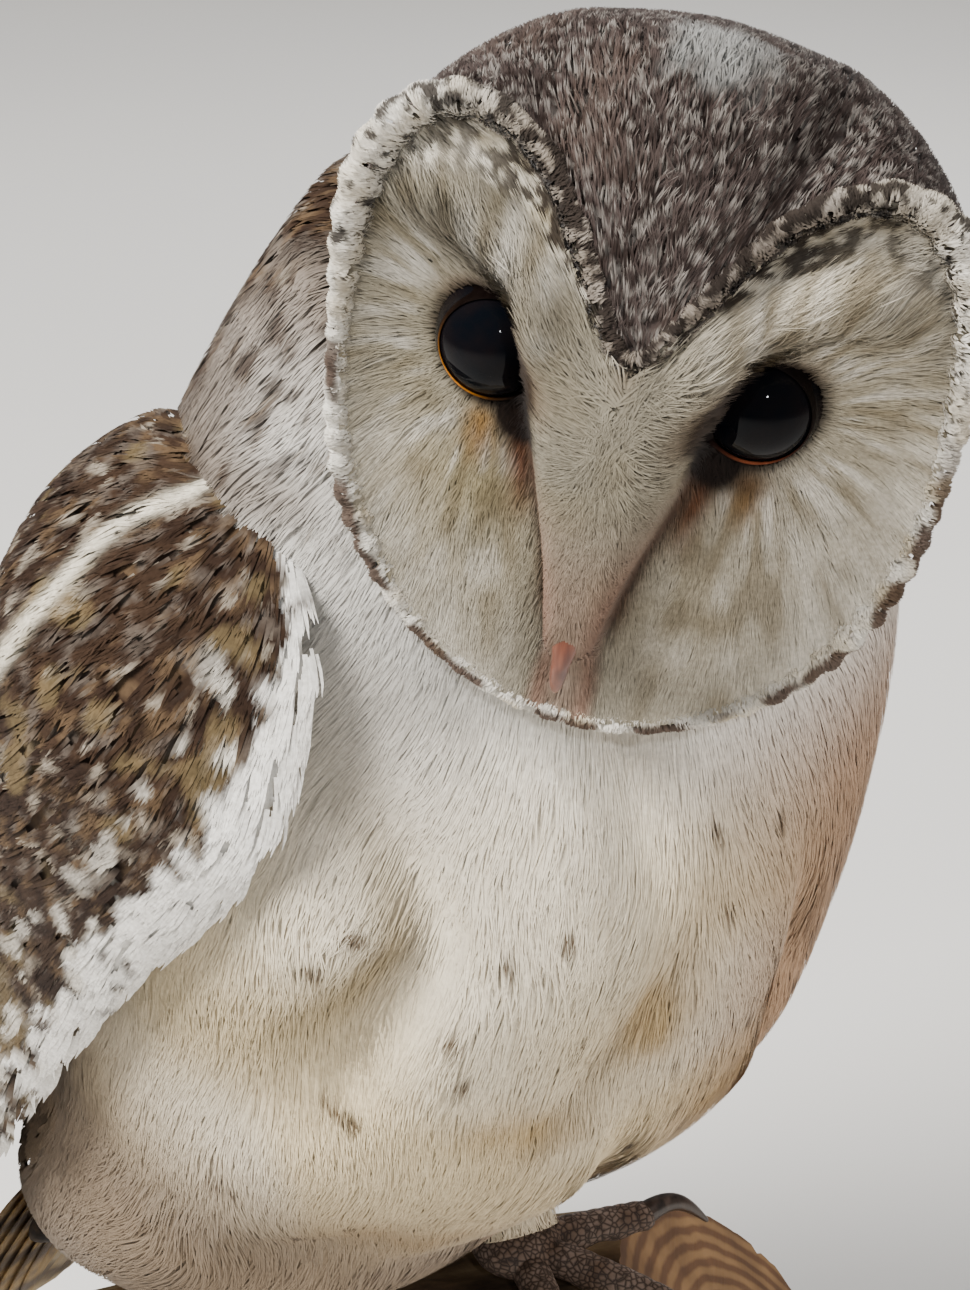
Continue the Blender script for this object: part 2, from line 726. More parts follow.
# %% Node helpers
class Finish:
    """A material with short ways to add nodes and join them."""

    def __init__(self, name, **settings):
        """A new material whose shader takes these settings, named as its inputs are."""
        self.material = bpy.data.materials.new(name)
        self.material.use_nodes = True
        self.nodes = self.material.node_tree.nodes
        self.links = self.material.node_tree.links
        self.shader = self.nodes["Principled BSDF"]
        for socket, value in settings.items():
            self.shader.inputs[socket.replace("_", " ")].default_value = value
        self.object_coords = self.add("ShaderNodeTexCoord").outputs["Object"]

    def give(self, target, value):
        """Joins a socket to an input, or sets the input to a value."""
        if isinstance(value, bpy.types.NodeSocket):
            self.links.new(value, target)
        else:
            target.default_value = value

    def add(self, kind, **inputs):
        """A node, with values or sockets for its inputs by name."""
        node = self.nodes.new(kind)
        for socket, value in inputs.items():
            self.give(node.inputs[socket.replace("_", " ")], value)
        return node

    def math(self, how, *values):
        """A number worked out from one or two others."""
        node = self.nodes.new("ShaderNodeMath")
        node.operation = how
        for place, value in enumerate(values):
            self.give(node.inputs[place], value)
        return node.outputs[0]

    def mapped(self, vector, scale=(1, 1, 1), turn=(0, 0, 0), move=(0, 0, 0)):
        """Coordinates stretched, turned and moved by a Mapping node."""
        node = self.add("ShaderNodeMapping", Vector=vector, Scale=scale, Rotation=turn, Location=move)
        return node.outputs["Vector"]

    def noise(self, vector, scale, detail=3.0, roughness=0.5):
        """Noise texture, as a number from 0 to 1."""
        node = self.add(
            "ShaderNodeTexNoise", Vector=vector, Scale=scale, Detail=detail, Roughness=roughness
        )
        return node.outputs["Fac"]

    def markings(self):
        """The colours painted on the piece's points."""
        node = self.add("ShaderNodeAttribute")
        node.attribute_name = "markings"
        return node.outputs["Color"]

    def ramp(self, fac, stops):
        """A colour ramp from (position, colour) pairs."""
        node = self.add("ShaderNodeValToRGB", Fac=fac)
        elements = node.color_ramp.elements
        while len(elements) < len(stops):
            elements.new(0.5)
        for element, (position, code) in zip(elements, stops):
            element.position = position
            element.color = (*paint(code), 1)
        return node.outputs["Color"]

    def mix(self, first, second, fac=0.5, how="MIX"):
        """Two colours mixed by a factor."""
        node = self.nodes.new("ShaderNodeMix")
        node.data_type = "RGBA"
        node.blend_type = how
        for place, value in ((0, fac), (6, first), (7, second)):
            self.give(node.inputs[place], value)
        return node.outputs[2]

    def bumped(self, height, strength, distance):
        """Bump from a height, in metres of relief."""
        node = self.add("ShaderNodeBump", Height=height, Strength=strength, Distance=distance)
        self.links.new(node.outputs["Normal"], self.shader.inputs["Normal"])

    def colour(self, socket):
        """Joins a colour to the shader and returns the finished material."""
        self.links.new(socket, self.shader.inputs["Base Color"])
        return self.material


def feather_finish(name, streak, sheen):
    """Painted markings, each strand a little lighter or darker than the next."""
    f = Finish(
        name, Roughness=0.72, Sheen_Weight=sheen, Sheen_Roughness=0.45, Specular_IOR_Level=0.12
    )
    fine = f.noise(f.object_coords, 1500, 2.0)
    shade = f.ramp(fine, [(0.3, "#b0aca6"), (0.7, "#ffffff")])
    return f.colour(f.mix(f.markings(), shade, streak, "MULTIPLY"))


def vane_finish(name):
    """Painted markings with fine slanting barbs pressed into the vane on both sides of its
    shaft: a wave across the Vane map, mirrored about the middle."""
    f = Finish(name, Roughness=0.6, Sheen_Weight=0.04, Sheen_Roughness=0.4, Specular_IOR_Level=0.2)
    vane = f.add("ShaderNodeUVMap")
    vane.uv_map = "Vane"
    parts = f.add("ShaderNodeSeparateXYZ", Vector=vane.outputs["UV"])
    away = f.math("ABSOLUTE", f.math("SUBTRACT", parts.outputs["X"], 0.5))
    joined = f.add("ShaderNodeCombineXYZ", X=away, Y=parts.outputs["Y"])
    slanted = f.mapped(joined.outputs["Vector"], turn=(0, 0, -BARB_SLANT))
    barbs = f.noise(f.mapped(slanted, (3, 260, 1)), 1.0, 2.0)
    shade = f.ramp(barbs, [(0.35, "#a8a39c"), (0.65, "#ffffff")])
    f.bumped(barbs, 0.5, 0.0003)
    return f.colour(f.mix(f.markings(), shade, 0.45, "MULTIPLY"))


BARB_SLANT = np.radians(62)
SKIN_FINISH = feather_finish("downy skin", streak=0.3, sheen=0.02)
FACE_FINISH = feather_finish("silky face bristles", streak=0.42, sheen=0.04)
CROWN_FINISH = feather_finish("crown feathers", streak=0.48, sheen=0.03)
DOWN_FINISH = feather_finish("white breast down", streak=0.3, sheen=0.1)
MOTTLED_FINISH = feather_finish("mottled wing coverts", streak=0.48, sheen=0.03)
QUILL_FINISH = vane_finish("barred flight feathers")
print("feather finishes made")

# %% [markdown]
# ## Markings
#
# Skin and feathers ask the same functions for their colour: a white breast with cream and ochre
# stains and small brown dots, wings and mantle brown broken by white and buff, a dark grey-brown
# crown with pale flecks and a worn pale patch, and a cream face with rust-brown tear stains.

# %% Colours of breast, mantle and neck
WHITE_DOWN = "#e9e6de"
CREAM_DOWN = "#cfbc93"
OCHRE_STAIN = "#9a7a40"
SOOT_STAIN = "#7c6a58"
DOT_BROWN = "#44301c"
DOT_CELL = 11.5
DOT_CHANCE = 0.5
DOT_LONG = 1.2
DOT_EDGE = (0.7, 1.35)  # radius where a dot starts to fade, and where it ends
WORN_PATCH = (0.5, -18.0)  # across the crown and behind the eye line
WORN_EDGE = (3.5, 9.5)
# the crease beside the wing and the cleft's shadow: x and height of the middle, slant
GROOVE = (-50, 86, 0.22)
SHADOW = (-17, 84, 0.55)
# patterns of flecks: colour, size, seed, level where they start and are full, share
MANTLE_PATTERNS = [
    ("#2a1f19", 2.9, 11, 0.44, 0.6, 0.8),
    ("#604e3a", 2.2, 12, 0.6, 0.7, 0.6),
    ("#645c54", 1.6, 13, 0.62, 0.72, 0.5),
    ("#8f8577", 2.4, 14, 0.75, 0.82, 0.8),
    ("#1e1510", 1.2, 15, 0.62, 0.74, 0.55),
]
CROWN_PATTERNS = [
    ("#261e1b", 1.2, 41, 0.48, 0.62, 0.85),
    ("#857f79", 0.85, 42, 0.58, 0.68, 0.68),
    ("#544740", 9, 43, 0.5, 0.8, 0.35),
]
# stains on the breast: x and height of the middle, reach across and up, share
STAINS = [
    (-14, 84, 7, 9, 0.8),
    (-30, 66, 9, 6, 0.75),
    (10, 58, 10, 7, 0.55),
    (30, 30, 8, 14, 0.7),
    (-4, 18, 12, 7, 0.7),
    (-34, 28, 12, 9, 0.55),
]


def patterned(points, ground, patterns):
    """A ground colour with patterns of flecks laid over it one after another."""
    return tint(
        all_over(ground, points),
        *((code, flecks(points, *noise_at) * share) for code, *noise_at, share in patterns),
    )


def mottling(points):
    """The wing's and mantle's pattern: brown ground, dark patches, and grey-white and ochre
    flecks."""
    return patterned(points, "#35281f", MANTLE_PATTERNS)


def from_front(angle):
    """How far an angle is turned from the breast, from 0 to half a turn, whatever its sign."""
    return np.abs(np.arctan2(np.sin(angle), np.cos(angle)))


def breast_dots(x, h):
    """Small brown dots, one in some cells of a grid over the breast, each off its cell's
    middle by chance and drawn out a little along the lie of the feathers."""
    cell_x = np.floor(x / DOT_CELL)
    cell_h = np.floor(h / DOT_CELL)
    spot_x = (cell_x + 0.2 + 0.6 * scramble(cell_x, cell_h, 5)) * DOT_CELL
    spot_h = (cell_h + 0.2 + 0.6 * scramble(cell_x, cell_h, 6)) * DOT_CELL
    shown = scramble(cell_x, cell_h, 7) < DOT_CHANCE
    away = np.hypot(x - spot_x, (h - spot_h) / DOT_LONG)
    return shown * (1 - smooth(away, *DOT_EDGE))


def beside_line(x, h, line):
    """Distance across from a slanting line over the breast."""
    middle, level, slant = line
    return x - middle - slant * (h - level)


def breast_colours(x, h, off, points):
    """White down, creamier and sootier towards the belly, with a tan flank on the owl's left."""
    cream = flecks(points, 26, 21, 0.22, 0.62) * smooth(130 - h, 0, 45)
    belly = smooth(70 - h, 0, 90)
    flank = smooth(x, -20, 28) * smooth(146 - h, 0, 36) * blend(0.85, 0.18, smooth(off, 0.85, 1.4))
    return tint(
        all_over(WHITE_DOWN, points),
        ("#d9cdb5", smooth(128 - h, 0, 28) * 0.9),
        (CREAM_DOWN, cream * 0.8),
        ("#cdb894", belly * (0.25 + 0.5 * noise(points, 18, 22))),
        ("#a37d60", flank),
    )


def body_colours(angle, h, points):
    """Colour of the trunk's and neck's plumage at an angle from the breast and a height."""
    x = world_to_body(points)[0]
    off = from_front(angle)
    ahead = np.cos(angle)
    colours = breast_colours(x, h, off, points)
    for spot, level, wide, tall, share in STAINS:
        there = bump(x - spot, wide) * bump(h - level, tall) * (0.4 + 1.2 * noise(points, 5, 23))
        colours = tint(colours, (OCHRE_STAIN, np.clip(there * share, 0, 0.8) * (ahead > 0)))
    groove = bump(beside_line(x, h, GROOVE), 4) * bump(h - 90, 26)
    shadow = bump(beside_line(x, h, SHADOW), 7) * bump(h - SHADOW[1], 20)
    dots = breast_dots(x, h) * smooth(ahead, 0.1, 0.35) * smooth(118 - h, 0, 8)
    # the mantle's brown comes forward round the neck in a ragged edge
    edge = np.radians(128) + np.radians(7) * smooth(h, 108, 140)
    ragged = off - edge + 0.45 * (noise(points, 9, 24) - 0.5)
    spots = flecks(points, 2.6, 25, 0.62, 0.7) * smooth(ragged, -1.1, -0.2) * smooth(h, 90, 110)
    colours = tint(
        colours,
        ("#7f6b42", groove * 0.75 * (ahead > -0.2)),
        ("#c4b08c", shadow * 0.35),
        (SOOT_STAIN, smooth(66 - h, 0, 66) * 0.9),
        (DOT_BROWN, dots * 0.95),
        ("#a9a59e", smooth(off, 0.7, 1.3) * smooth(h, 92, 116) * 0.55),
        ("#6a5e53", smooth(ragged, -0.8, 0.0) * smooth(h, 108, 128) * 0.9),
    )
    share = np.maximum(smooth(ragged, -0.05, 0.16), spots * 0.85)
    return blend(colours, mottling(points), np.clip(share, 0, 1)[..., None])


# %% Colours of wing, crown and face
def wing_colours(c, h, points):
    """The folded wing from its leading edge (c = 0): a narrow, ragged white border, brown
    mottling with cream flecks, and a cream streak before the shoulder feathers."""
    near_edge = smooth(0.26 - c, 0, 0.18)
    cream = flecks(points, 2.8, 34, 0.7 - 0.1 * near_edge, 0.76) * near_edge
    middle = 0.56 + 0.0022 * np.maximum(h - 100, 0) + 0.07 * (noise(points, 14, 32) - 0.5)
    streak = bump(c - middle, 0.022 + 0.012 * noise(points, 7, 35)) * smooth(h, 70, 92)
    edge = 0.02 + 0.06 * bump(h - 96, 36) + 0.1 * (noise(points, 3.2, 33) - 0.5)
    edge = edge + 0.05 * (noise(points, 12, 36) - 0.5)
    return tint(
        mottling(points),
        ("#80704f", flecks(points, 5, 31, 0.66, 0.76) * 0.35),
        ("#c6c0b4", cream),
        ("#cfc7b4", np.clip(streak * 1.1, 0, 0.9)),
        ("#e6e3dc", 1 - smooth(c, edge - 0.01, edge + 0.012)),
    )


def crown_colours(phi, m, points):
    """Dark crown with pale flecks in small cells, lighter cheeks below, and a worn patch."""
    colours = patterned(points, "#423936", CROWN_PATTERNS)
    x, depth, z = world_to_face(points)
    worn = np.hypot(x - WORN_PATCH[0], depth - WORN_PATCH[1]) + 6 * (noise(points, 3, 44) - 0.5)
    colours = tint(colours, ("#8f8f8c", (1 - smooth(worn, *WORN_EDGE)) * (z > 10) * 0.85))
    # below the ears the ruff's outer side is white, spotted and then plain
    off = np.abs(phi)
    low = smooth_turn(off + 0.25 * (noise(points, 7, 45) - 0.5), 70, 100)
    spots = flecks(points, 3.5, 47, 0.66, 0.76) * (1 - smooth(off, 1.9, 2.4))
    cream = noise(points, 14, 46) * 0.5
    white = tint(all_over(WHITE_DOWN, points), (CREAM_DOWN, cream), ("#5b4838", spots * 0.8))
    back = smooth(m + 0.2 * (noise(points, 6, 48) - 0.5), 0.66, 0.78)
    back = back * (1 - smooth_turn(off, 150, 178))
    under = blend(white, mottling(points), np.clip(back, 0, 1)[..., None])
    return blend(colours, under, low[..., None])


def brow_band(phi, rho):
    """1 in the speckled band between the pale brow fur and the rim, 0 elsewhere: its inner edge
    dips towards the eyes on both arms of the heart."""
    off = np.abs(phi)
    dip = 0.33 * bump_turn(off, 30, 14) + 0.1 * bump_turn(off, 50, 10)
    return smooth(rho - (1 - dip), -0.035, 0.035) * (1 - smooth_turn(off, 62, 75))


def face_ground(x, z, rho, points):
    """The face's cream, whiter on the owl's left and on the brows, olive on the lower cheeks."""
    across = np.abs(x)
    olive = bump(across - 17, 8) * bump(z + 20, 9) * (x < 0)
    olive = olive + 0.4 * bump(across - 30, 7) * bump(z + 6, 12)
    return tint(
        all_over("#afa692", points),
        ("#998862", flecks(points, 6, 51, 0.4, 0.8) * 0.22),
        ("#c4beb4", smooth(x, 12, 34) * smooth(-z, -4, 12) * 0.7),
        ("#c8bfac", smooth(rho, 0.5, 0.9) * smooth(-z, -6, 8) * 0.5),
        ("#cdc4b2", bump(across - 17, 9) * bump(z - 15, 6) * 0.6),
        ("#98895a", np.clip(olive * 0.55, 0, 1)),
    )


def face_rays(colours, x, z):
    """Dark and pale rays over the cheeks, from noise that is stretched away from each eye."""
    across = np.abs(x)
    eye = from_eye(x, z)
    turn = np.arctan2(z, across - EYE_SPREAD)
    places = np.stack([14 * np.cos(turn), 14 * np.sin(turn) + np.sign(x) * 40, eye * 0.2], -1)
    rays = noise(places, 1.1, 55)
    off_ridge = smooth(across, 7, 13) * smooth(eye, EYE_OPENING + 2, EYE_OPENING + 7)
    pale = smooth(1 - rays, 0.56, 0.8) * off_ridge * blend(0.7, 0.3, smooth(eye, 12, 22))
    dark = smooth(rays, 0.52, 0.76) * off_ridge * 0.55
    return tint(colours, ("#77694d", dark), ("#ebe5d8", pale))


def face_stains(colours, x, z):
    """The ridge's dull lower half, a brown socket, amber and rust-dark lines under the inner
    corners, a channel beside the ridge, and a smudge under the left eye."""
    across = np.abs(x)
    eye = from_eye(x, z)
    ridge_wide = along(RIDGE, z)[1]
    low_ridge = (1 - smooth(across - ridge_wide, -1, 1.5)) * smooth(-z, 6, 26)
    socket = (1 - smooth(eye, EYE_OPENING, EYE_OPENING + 5)) * smooth(z - 0.4 * across, -10, -2)
    amber = bump(across - 17.6, 2.2) * smooth(-z, 7, 10) * (1 - smooth(-z, 12, 19))
    line = blend(12.6, 10.6, smooth(-z, 8, 20))
    tear_line = bump(across - line, 2.0) * smooth(-z, 5, 9) * (1 - smooth(-z, 14, 26))
    channel = bump(across - 1.14 * ridge_wide - 0.3, 1.7) * smooth(-z, 2, 8)
    smudge = bump(across - 16.6, 3.4) * bump(z + 9.5, 2.6) * (x > 0)
    return tint(
        colours,
        ("#86695a", low_ridge * (0.5 + 0.4 * smooth(across / ridge_wide, 0.2, 0.9))),
        ("#705c4a", socket * 0.75),
        ("#6f4f1e", amber * 0.85),
        ("#542c14", tear_line * 0.92),
        ("#442c1c", channel * (1 - smooth(-z, 33, 42)) * 0.92),
        ("#54402f", smudge * 0.85),
    )


def eye_shadows(colours, x, z):
    """A dark ring round each eye, wider above it, a black tear at the inner corner, and a fine
    crease down the middle of the brow."""
    across = np.abs(x)
    above = smooth(z + 0.3 * across, 4, 9)
    ring = 1 - smooth(from_eye(x, z), EYE_OPENING + 0.8, EYE_OPENING + 2.4 + 1.2 * above)
    tear = bump(across - 12.9, 3.3) * bump(z + 6.9, 4.8)
    return tint(
        colours,
        ("#1f140d", ring * 0.93),
        ("#120a07", smooth(tear, 0.12, 0.5) * 0.98),
        ("#6f5640", bump(across, 1.4) * smooth(z, 3, 9) * 0.3),
    )


def face_colours(x, z, points):
    """The whole face: cream with rays, in deeper tone on the owl's right, stains and shadows
    round the eyes, and a speckled band under the brow rolls."""
    phi, rho = polar(x, z)
    colours = face_rays(face_ground(x, z, rho, points), x, z)
    dulled = blend(0.5 + 0.24 * smooth(-z, 8, 24) * smooth(-x, 6, 12), 0.95, smooth(x, 5, 17))
    colours = face_stains(colours * dulled[..., None], x, z)
    colours = eye_shadows(colours, x, z)
    specks = flecks(points, 1.2, 54, 0.38, 0.5) * blend(0.95, 0.6, smooth(np.abs(phi), 0.5, 0.9))
    pale = noise(points, 2.0, 53) * 0.8
    scaly = tint(all_over("#857a62", points), ("#d8d2c4", pale), ("#221a15", specks))
    return blend(colours, scaly, brow_band(phi, rho)[..., None])


print("a white feather is", paint(WHITE_DOWN).round(3))

# %% [markdown]
# ## Skin
#
# Under the plumage a mounted bird is one continuous skin. The solids are separate so that each
# part has a name. Here their surfaces, read a few millimetres lower, are joined and remeshed into
# one closed form with no seam, and its colours are carried over from the parts.

# %% One skin under all the feathers
COAT_DEPTH = {"face": 1.1, "crown": 1.6, "trunk": 2.3, "wing": 1.5, "leg": 2.4}
WING_SKIN_TO = -70
WING_SKIN_CAP = 10
SKIN_VOXEL = 1.7
# how fine the parts are: points round each one and rings along it
HEAD_SIDES = 150
FACE_RINGS = 60
SKULL_RINGS = 70
TRUNK_SIDES = 160
TRUNK_RINGS = 130
WING_SIDES = 60
WING_RINGS = 90
LEG_SIDES = 48
LEG_RINGS = 50
TAIL_SIDES = 40
TAIL_RINGS = 40


def crowded(low, high, count):
    """Places from low to high that crowd towards both ends, where a form closes."""
    return blend(low, high, (1 - np.cos(np.pi * np.linspace(0, 1, count))) / 2)


def turns(count, start=-np.pi):
    """Angles all the way round, the last one short of the first."""
    return np.linspace(start, start + TAU, count, endpoint=False)


skin_parts = []


def add_skin_part(points, colours):
    """Keeps one closed part of the skin, an array of rings of points, until all are joined."""
    skin_parts.append((*meshed(points), colours.reshape(-1, 3)))


rr, pp = np.meshgrid(np.linspace(0, 1, FACE_RINGS), turns(HEAD_SIDES), indexing="ij")
face_x = rr * heart(pp) * np.sin(pp)
face_z = DISC_MIDDLE + rr * heart(pp) * np.cos(pp)
face_points = face_surface(face_x, face_z, -COAT_DEPTH["face"])
mm, qq = np.meshgrid(np.linspace(0, 1, SKULL_RINGS), turns(HEAD_SIDES), indexing="ij")
skull_points = skull_surface(qq, mm, -COAT_DEPTH["crown"])
# between face and skull the two depths meet over the first rows behind the rim
meet = (1 - smooth(mm, 0, 0.12))[..., None]
skull_points = blend(skull_points, skull_surface(qq, mm, -COAT_DEPTH["face"]), meet)
head_points = np.concatenate([face_points, skull_points[1:]])
skull_tones = crown_colours(qq, mm, skull_points)[1:]
add_skin_part(head_points, np.concatenate([face_colours(face_x, face_z, face_points), skull_tones]))

ends = (TRUNK[0][0] + COAT_DEPTH["trunk"], TRUNK[-1][0] - COAT_DEPTH["trunk"])
angle, h = np.meshgrid(turns(TRUNK_SIDES), crowded(*ends, TRUNK_RINGS))
trunk_points = trunk_surface(angle, h, -COAT_DEPTH["trunk"])
add_skin_part(trunk_points, body_colours(angle, h, trunk_points))

for sign, side in SIDES:
    ends = (WING_SKIN_TO, WING[0][0] - 2)
    ww, hh = np.meshgrid(turns(WING_SIDES, 0), crowded(*ends, WING_RINGS))
    c = 0.5 - 0.5 * np.cos(ww)
    thin = np.minimum(COAT_DEPTH["wing"], 0.3 * along(WING, hh)[5])
    full = closing(np.minimum(hh - ends[0], ends[1] - hh), WING_SKIN_CAP)
    outer = wing_surface(sign, 1.0)(c, hh, -thin)
    inner = wing_surface(sign, -1.0)(c, hh, -thin)
    shell = np.where((ww < np.pi)[..., None], outer, inner)
    shell = blend((outer + inner) / 2, shell, full[..., None])
    add_skin_part(shell, wing_colours(c, hh, shell))

# legs: from inside the belly to the foot
LEG_RADII = [(0, 19), (0.4, 18), (0.66, 14), (0.84, 10), (1, 7.2)]
LEG_STEPS = 80
LEG_REST = 8  # the leg ends this far over the log


def leg_path(sign):
    """Hip, thigh, knee and foot of a leg, from the belly down to the log."""
    foot = on_log(sign * FOOT_SPREAD, 0, LEG_REST)
    return [
        (sign * FOOT_SPREAD, 2, 138),
        (sign * FOOT_SPREAD, 4 + 0.3 * foot[1], 122),
        (sign * (FOOT_SPREAD - 1), 4 + 0.7 * foot[1], 106),
        tuple(foot),
    ]


def leg_surface(sign):
    """World points of a feathered leg by angle round it and share of the way down."""
    shares = np.linspace(0, 1, LEG_STEPS)
    places, heading = smooth_path(leg_path(sign), shares)

    def surface(angle, share, height=0.0):
        """World points of this leg."""
        at = np.stack([np.interp(share, shares, places[:, k]) for k in range(3)], -1)
        way = np.stack([np.interp(share, shares, heading[:, k]) for k in range(3)], -1)
        side = np.cross(way, [0, 1, 0])
        side /= np.linalg.norm(side, axis=-1, keepdims=True)
        front = np.cross(side, way)
        r = (along(LEG_RADII, share)[0] + height)[..., None]
        return at + side * (r * np.sin(angle)[..., None]) + front * (r * np.cos(angle)[..., None])

    return surface


def leg_colours(points):
    """Cream-white leg feathers, a little darker and yellower towards the foot."""
    return tint(
        all_over("#e2dac8", points),
        ("#c3ab80", flecks(points, 8, 61, 0.4, 0.8) * 0.5),
        ("#9d8461", smooth(100 - points[..., 2], 0, 16) * 0.4),
    )


for sign, side in SIDES:
    angle, share = np.meshgrid(turns(LEG_SIDES), np.linspace(0.02, 0.985, LEG_RINGS))
    rings = leg_surface(sign)(angle, share, -COAT_DEPTH["leg"])
    top = np.repeat(rings[0].mean(0)[None, None], LEG_SIDES, 1)
    foot = np.repeat(rings[-1].mean(0)[None, None], LEG_SIDES, 1)
    points = np.concatenate([top, rings, foot])
    add_skin_part(points, leg_colours(points))

# the root of the tail: half width, half thickness, and (front, height) of both its ends
TAIL_ROOT = (20, 4.5)
TAIL_ROOT_FROM = (-28, -30)
TAIL_ROOT_TO = (-40, -92)
TAIL_ROOT_LONG = 60
TAIL_ROOT_CAP = 12
aa, tt = np.meshgrid(turns(TAIL_SIDES, 0), crowded(0, 1, TAIL_RINGS))
full = closing(np.minimum(tt, 1 - tt) * TAIL_ROOT_LONG, TAIL_ROOT_CAP)
tail_x = TAIL_ROOT[0] * np.sin(aa) * full
tail_front = blend(TAIL_ROOT_FROM[0], TAIL_ROOT_TO[0], tt) + TAIL_ROOT[1] * np.cos(aa) * full
tail_points = body_to_world(tail_x, tail_front, blend(TAIL_ROOT_FROM[1], TAIL_ROOT_TO[1], tt))
add_skin_part(tail_points, mottling(tail_points))


def joined(lots):
    """Lots of (points, faces, more arrays for each point) in one, with the faces' numbers moved
    on past the points of the lots before."""
    starts = np.cumsum([0] + [len(lot[0]) for lot in lots[:-1]])
    faces = np.concatenate([lot[1] + start for lot, start in zip(lots, starts)])
    points, *more = (np.concatenate([lot[k] for lot in lots]) for k in range(len(lots[0])) if k != 1)
    return points, faces, *more


def settled(piece):
    """The piece's mesh with its modifiers applied, in place of the mesh it started from."""
    shape = piece.evaluated_get(bpy.context.evaluated_depsgraph_get())
    made = bpy.data.meshes.new_from_object(shape)
    piece.modifiers.clear()
    piece.data = made
    return piece


skin_points, skin_quads, skin_colours = joined(skin_parts)
source = outward(new_piece("skin_source", skin_points, skin_quads, SKIN_FINISH, skin_colours))
skin = added("owl_skin", source.data.copy())
remesh = skin.modifiers.new("one form", "REMESH")
remesh.mode = "VOXEL"
remesh.voxel_size = SKIN_VOXEL * MM
remesh.use_smooth_shade = True
soften = skin.modifiers.new("soften", "SMOOTH")
soften.factor = 0.5
soften.iterations = 2
settled(skin)
skin.data.color_attributes.new("markings", "FLOAT_COLOR", "POINT")
carried = skin.modifiers.new("colours", "DATA_TRANSFER")
carried.object = source
carried.use_vert_data = True
carried.data_types_verts = {"COLOR_VERTEX"}
carried.vert_mapping = "NEAREST"
settled(skin)
skin.data.materials.clear()
skin.data.materials.append(SKIN_FINISH)
bpy.data.objects.remove(source)
flesh = ["head", "facial_disc_left", "facial_disc_right", "neck", "trunk", "tail"]
for part in ("wing_{}_coverts", "wing_{}_secondaries", "wing_{}_primaries", "leg_{}_thigh", "leg_{}_shank"):
    flesh += [part.format(side) for sign, side in SIDES]
belongs(skin, "breast_feathers", *flesh)
print("skin:", len(skin.data.vertices), "points")

# %% [markdown]
# ## Laying feathers
#
# Every small feather is a tuft: a fan of thin barbs that start at one root on the skin, rise to
# the outline and taper. One function lays them all, from the roots' places on a surface, the lie
# there, and a length, depth and width. It walks each barb along the surface itself, so that long
# ones follow every hollow, and gives each tuft a small patch of the bake map at its root's place
# on the unrolled skin.

# %% Tufts of barbs
BAKE_PATCH = 0.003
# steps of a sequence that fills a square evenly and never repeats
EVEN_STEP_A = 0.7548776662
EVEN_STEP_B = 0.5698402910
MOST_ROOTS = 400000
AREA_PROBES = 4000


def spread_roots(surface, a_range, b_range, spacing, keep, seed):
    """Roots about `spacing` apart on a surface: places of an even sequence, each kept with a
    chance that follows the surface's area. keep(a, b, points) says which of them may stay."""
    shuffle = np.random.default_rng(seed)
    probe_a = shuffle.uniform(*a_range, AREA_PROBES)
    probe_b = shuffle.uniform(*b_range, AREA_PROBES)
    widest = np.percentile(patch_area(surface, probe_a, probe_b), 99.9)
    whole = widest * (a_range[1] - a_range[0]) * (b_range[1] - b_range[0])
    tries = np.arange(1, min(MOST_ROOTS, int(whole / spacing**2)) + 1)
    a = blend(*a_range, tries * EVEN_STEP_A % 1)
    b = blend(*b_range, tries * EVEN_STEP_B % 1)
    chance = patch_area(surface, a, b) / widest
    kept = shuffle.random(len(a)) < chance
    a, b = a[kept], b[kept]
    kept = keep(a, b, surface(a, b))
    return a[kept], b[kept]


def steps_on(surface, a, b):
    """How far a point moves for a small change of a and of b."""
    e = 1e-3
    step_a = (surface(a + e, b) - surface(a - e, b)) / (2 * e)
    step_b = (surface(a, b + e) - surface(a, b - e)) / (2 * e)
    return step_a, step_b


def patch_area(surface, a, b):
    """Area of surface for a unit square of a and b."""
    step_a, step_b = steps_on(surface, a, b)
    return np.linalg.norm(np.cross(step_a, step_b), axis=-1)


def unit(vectors):
    """Vectors made one long; those of no length stay as they are."""
    return vectors / np.maximum(np.linalg.norm(vectors, axis=-1, keepdims=True), 1e-9)


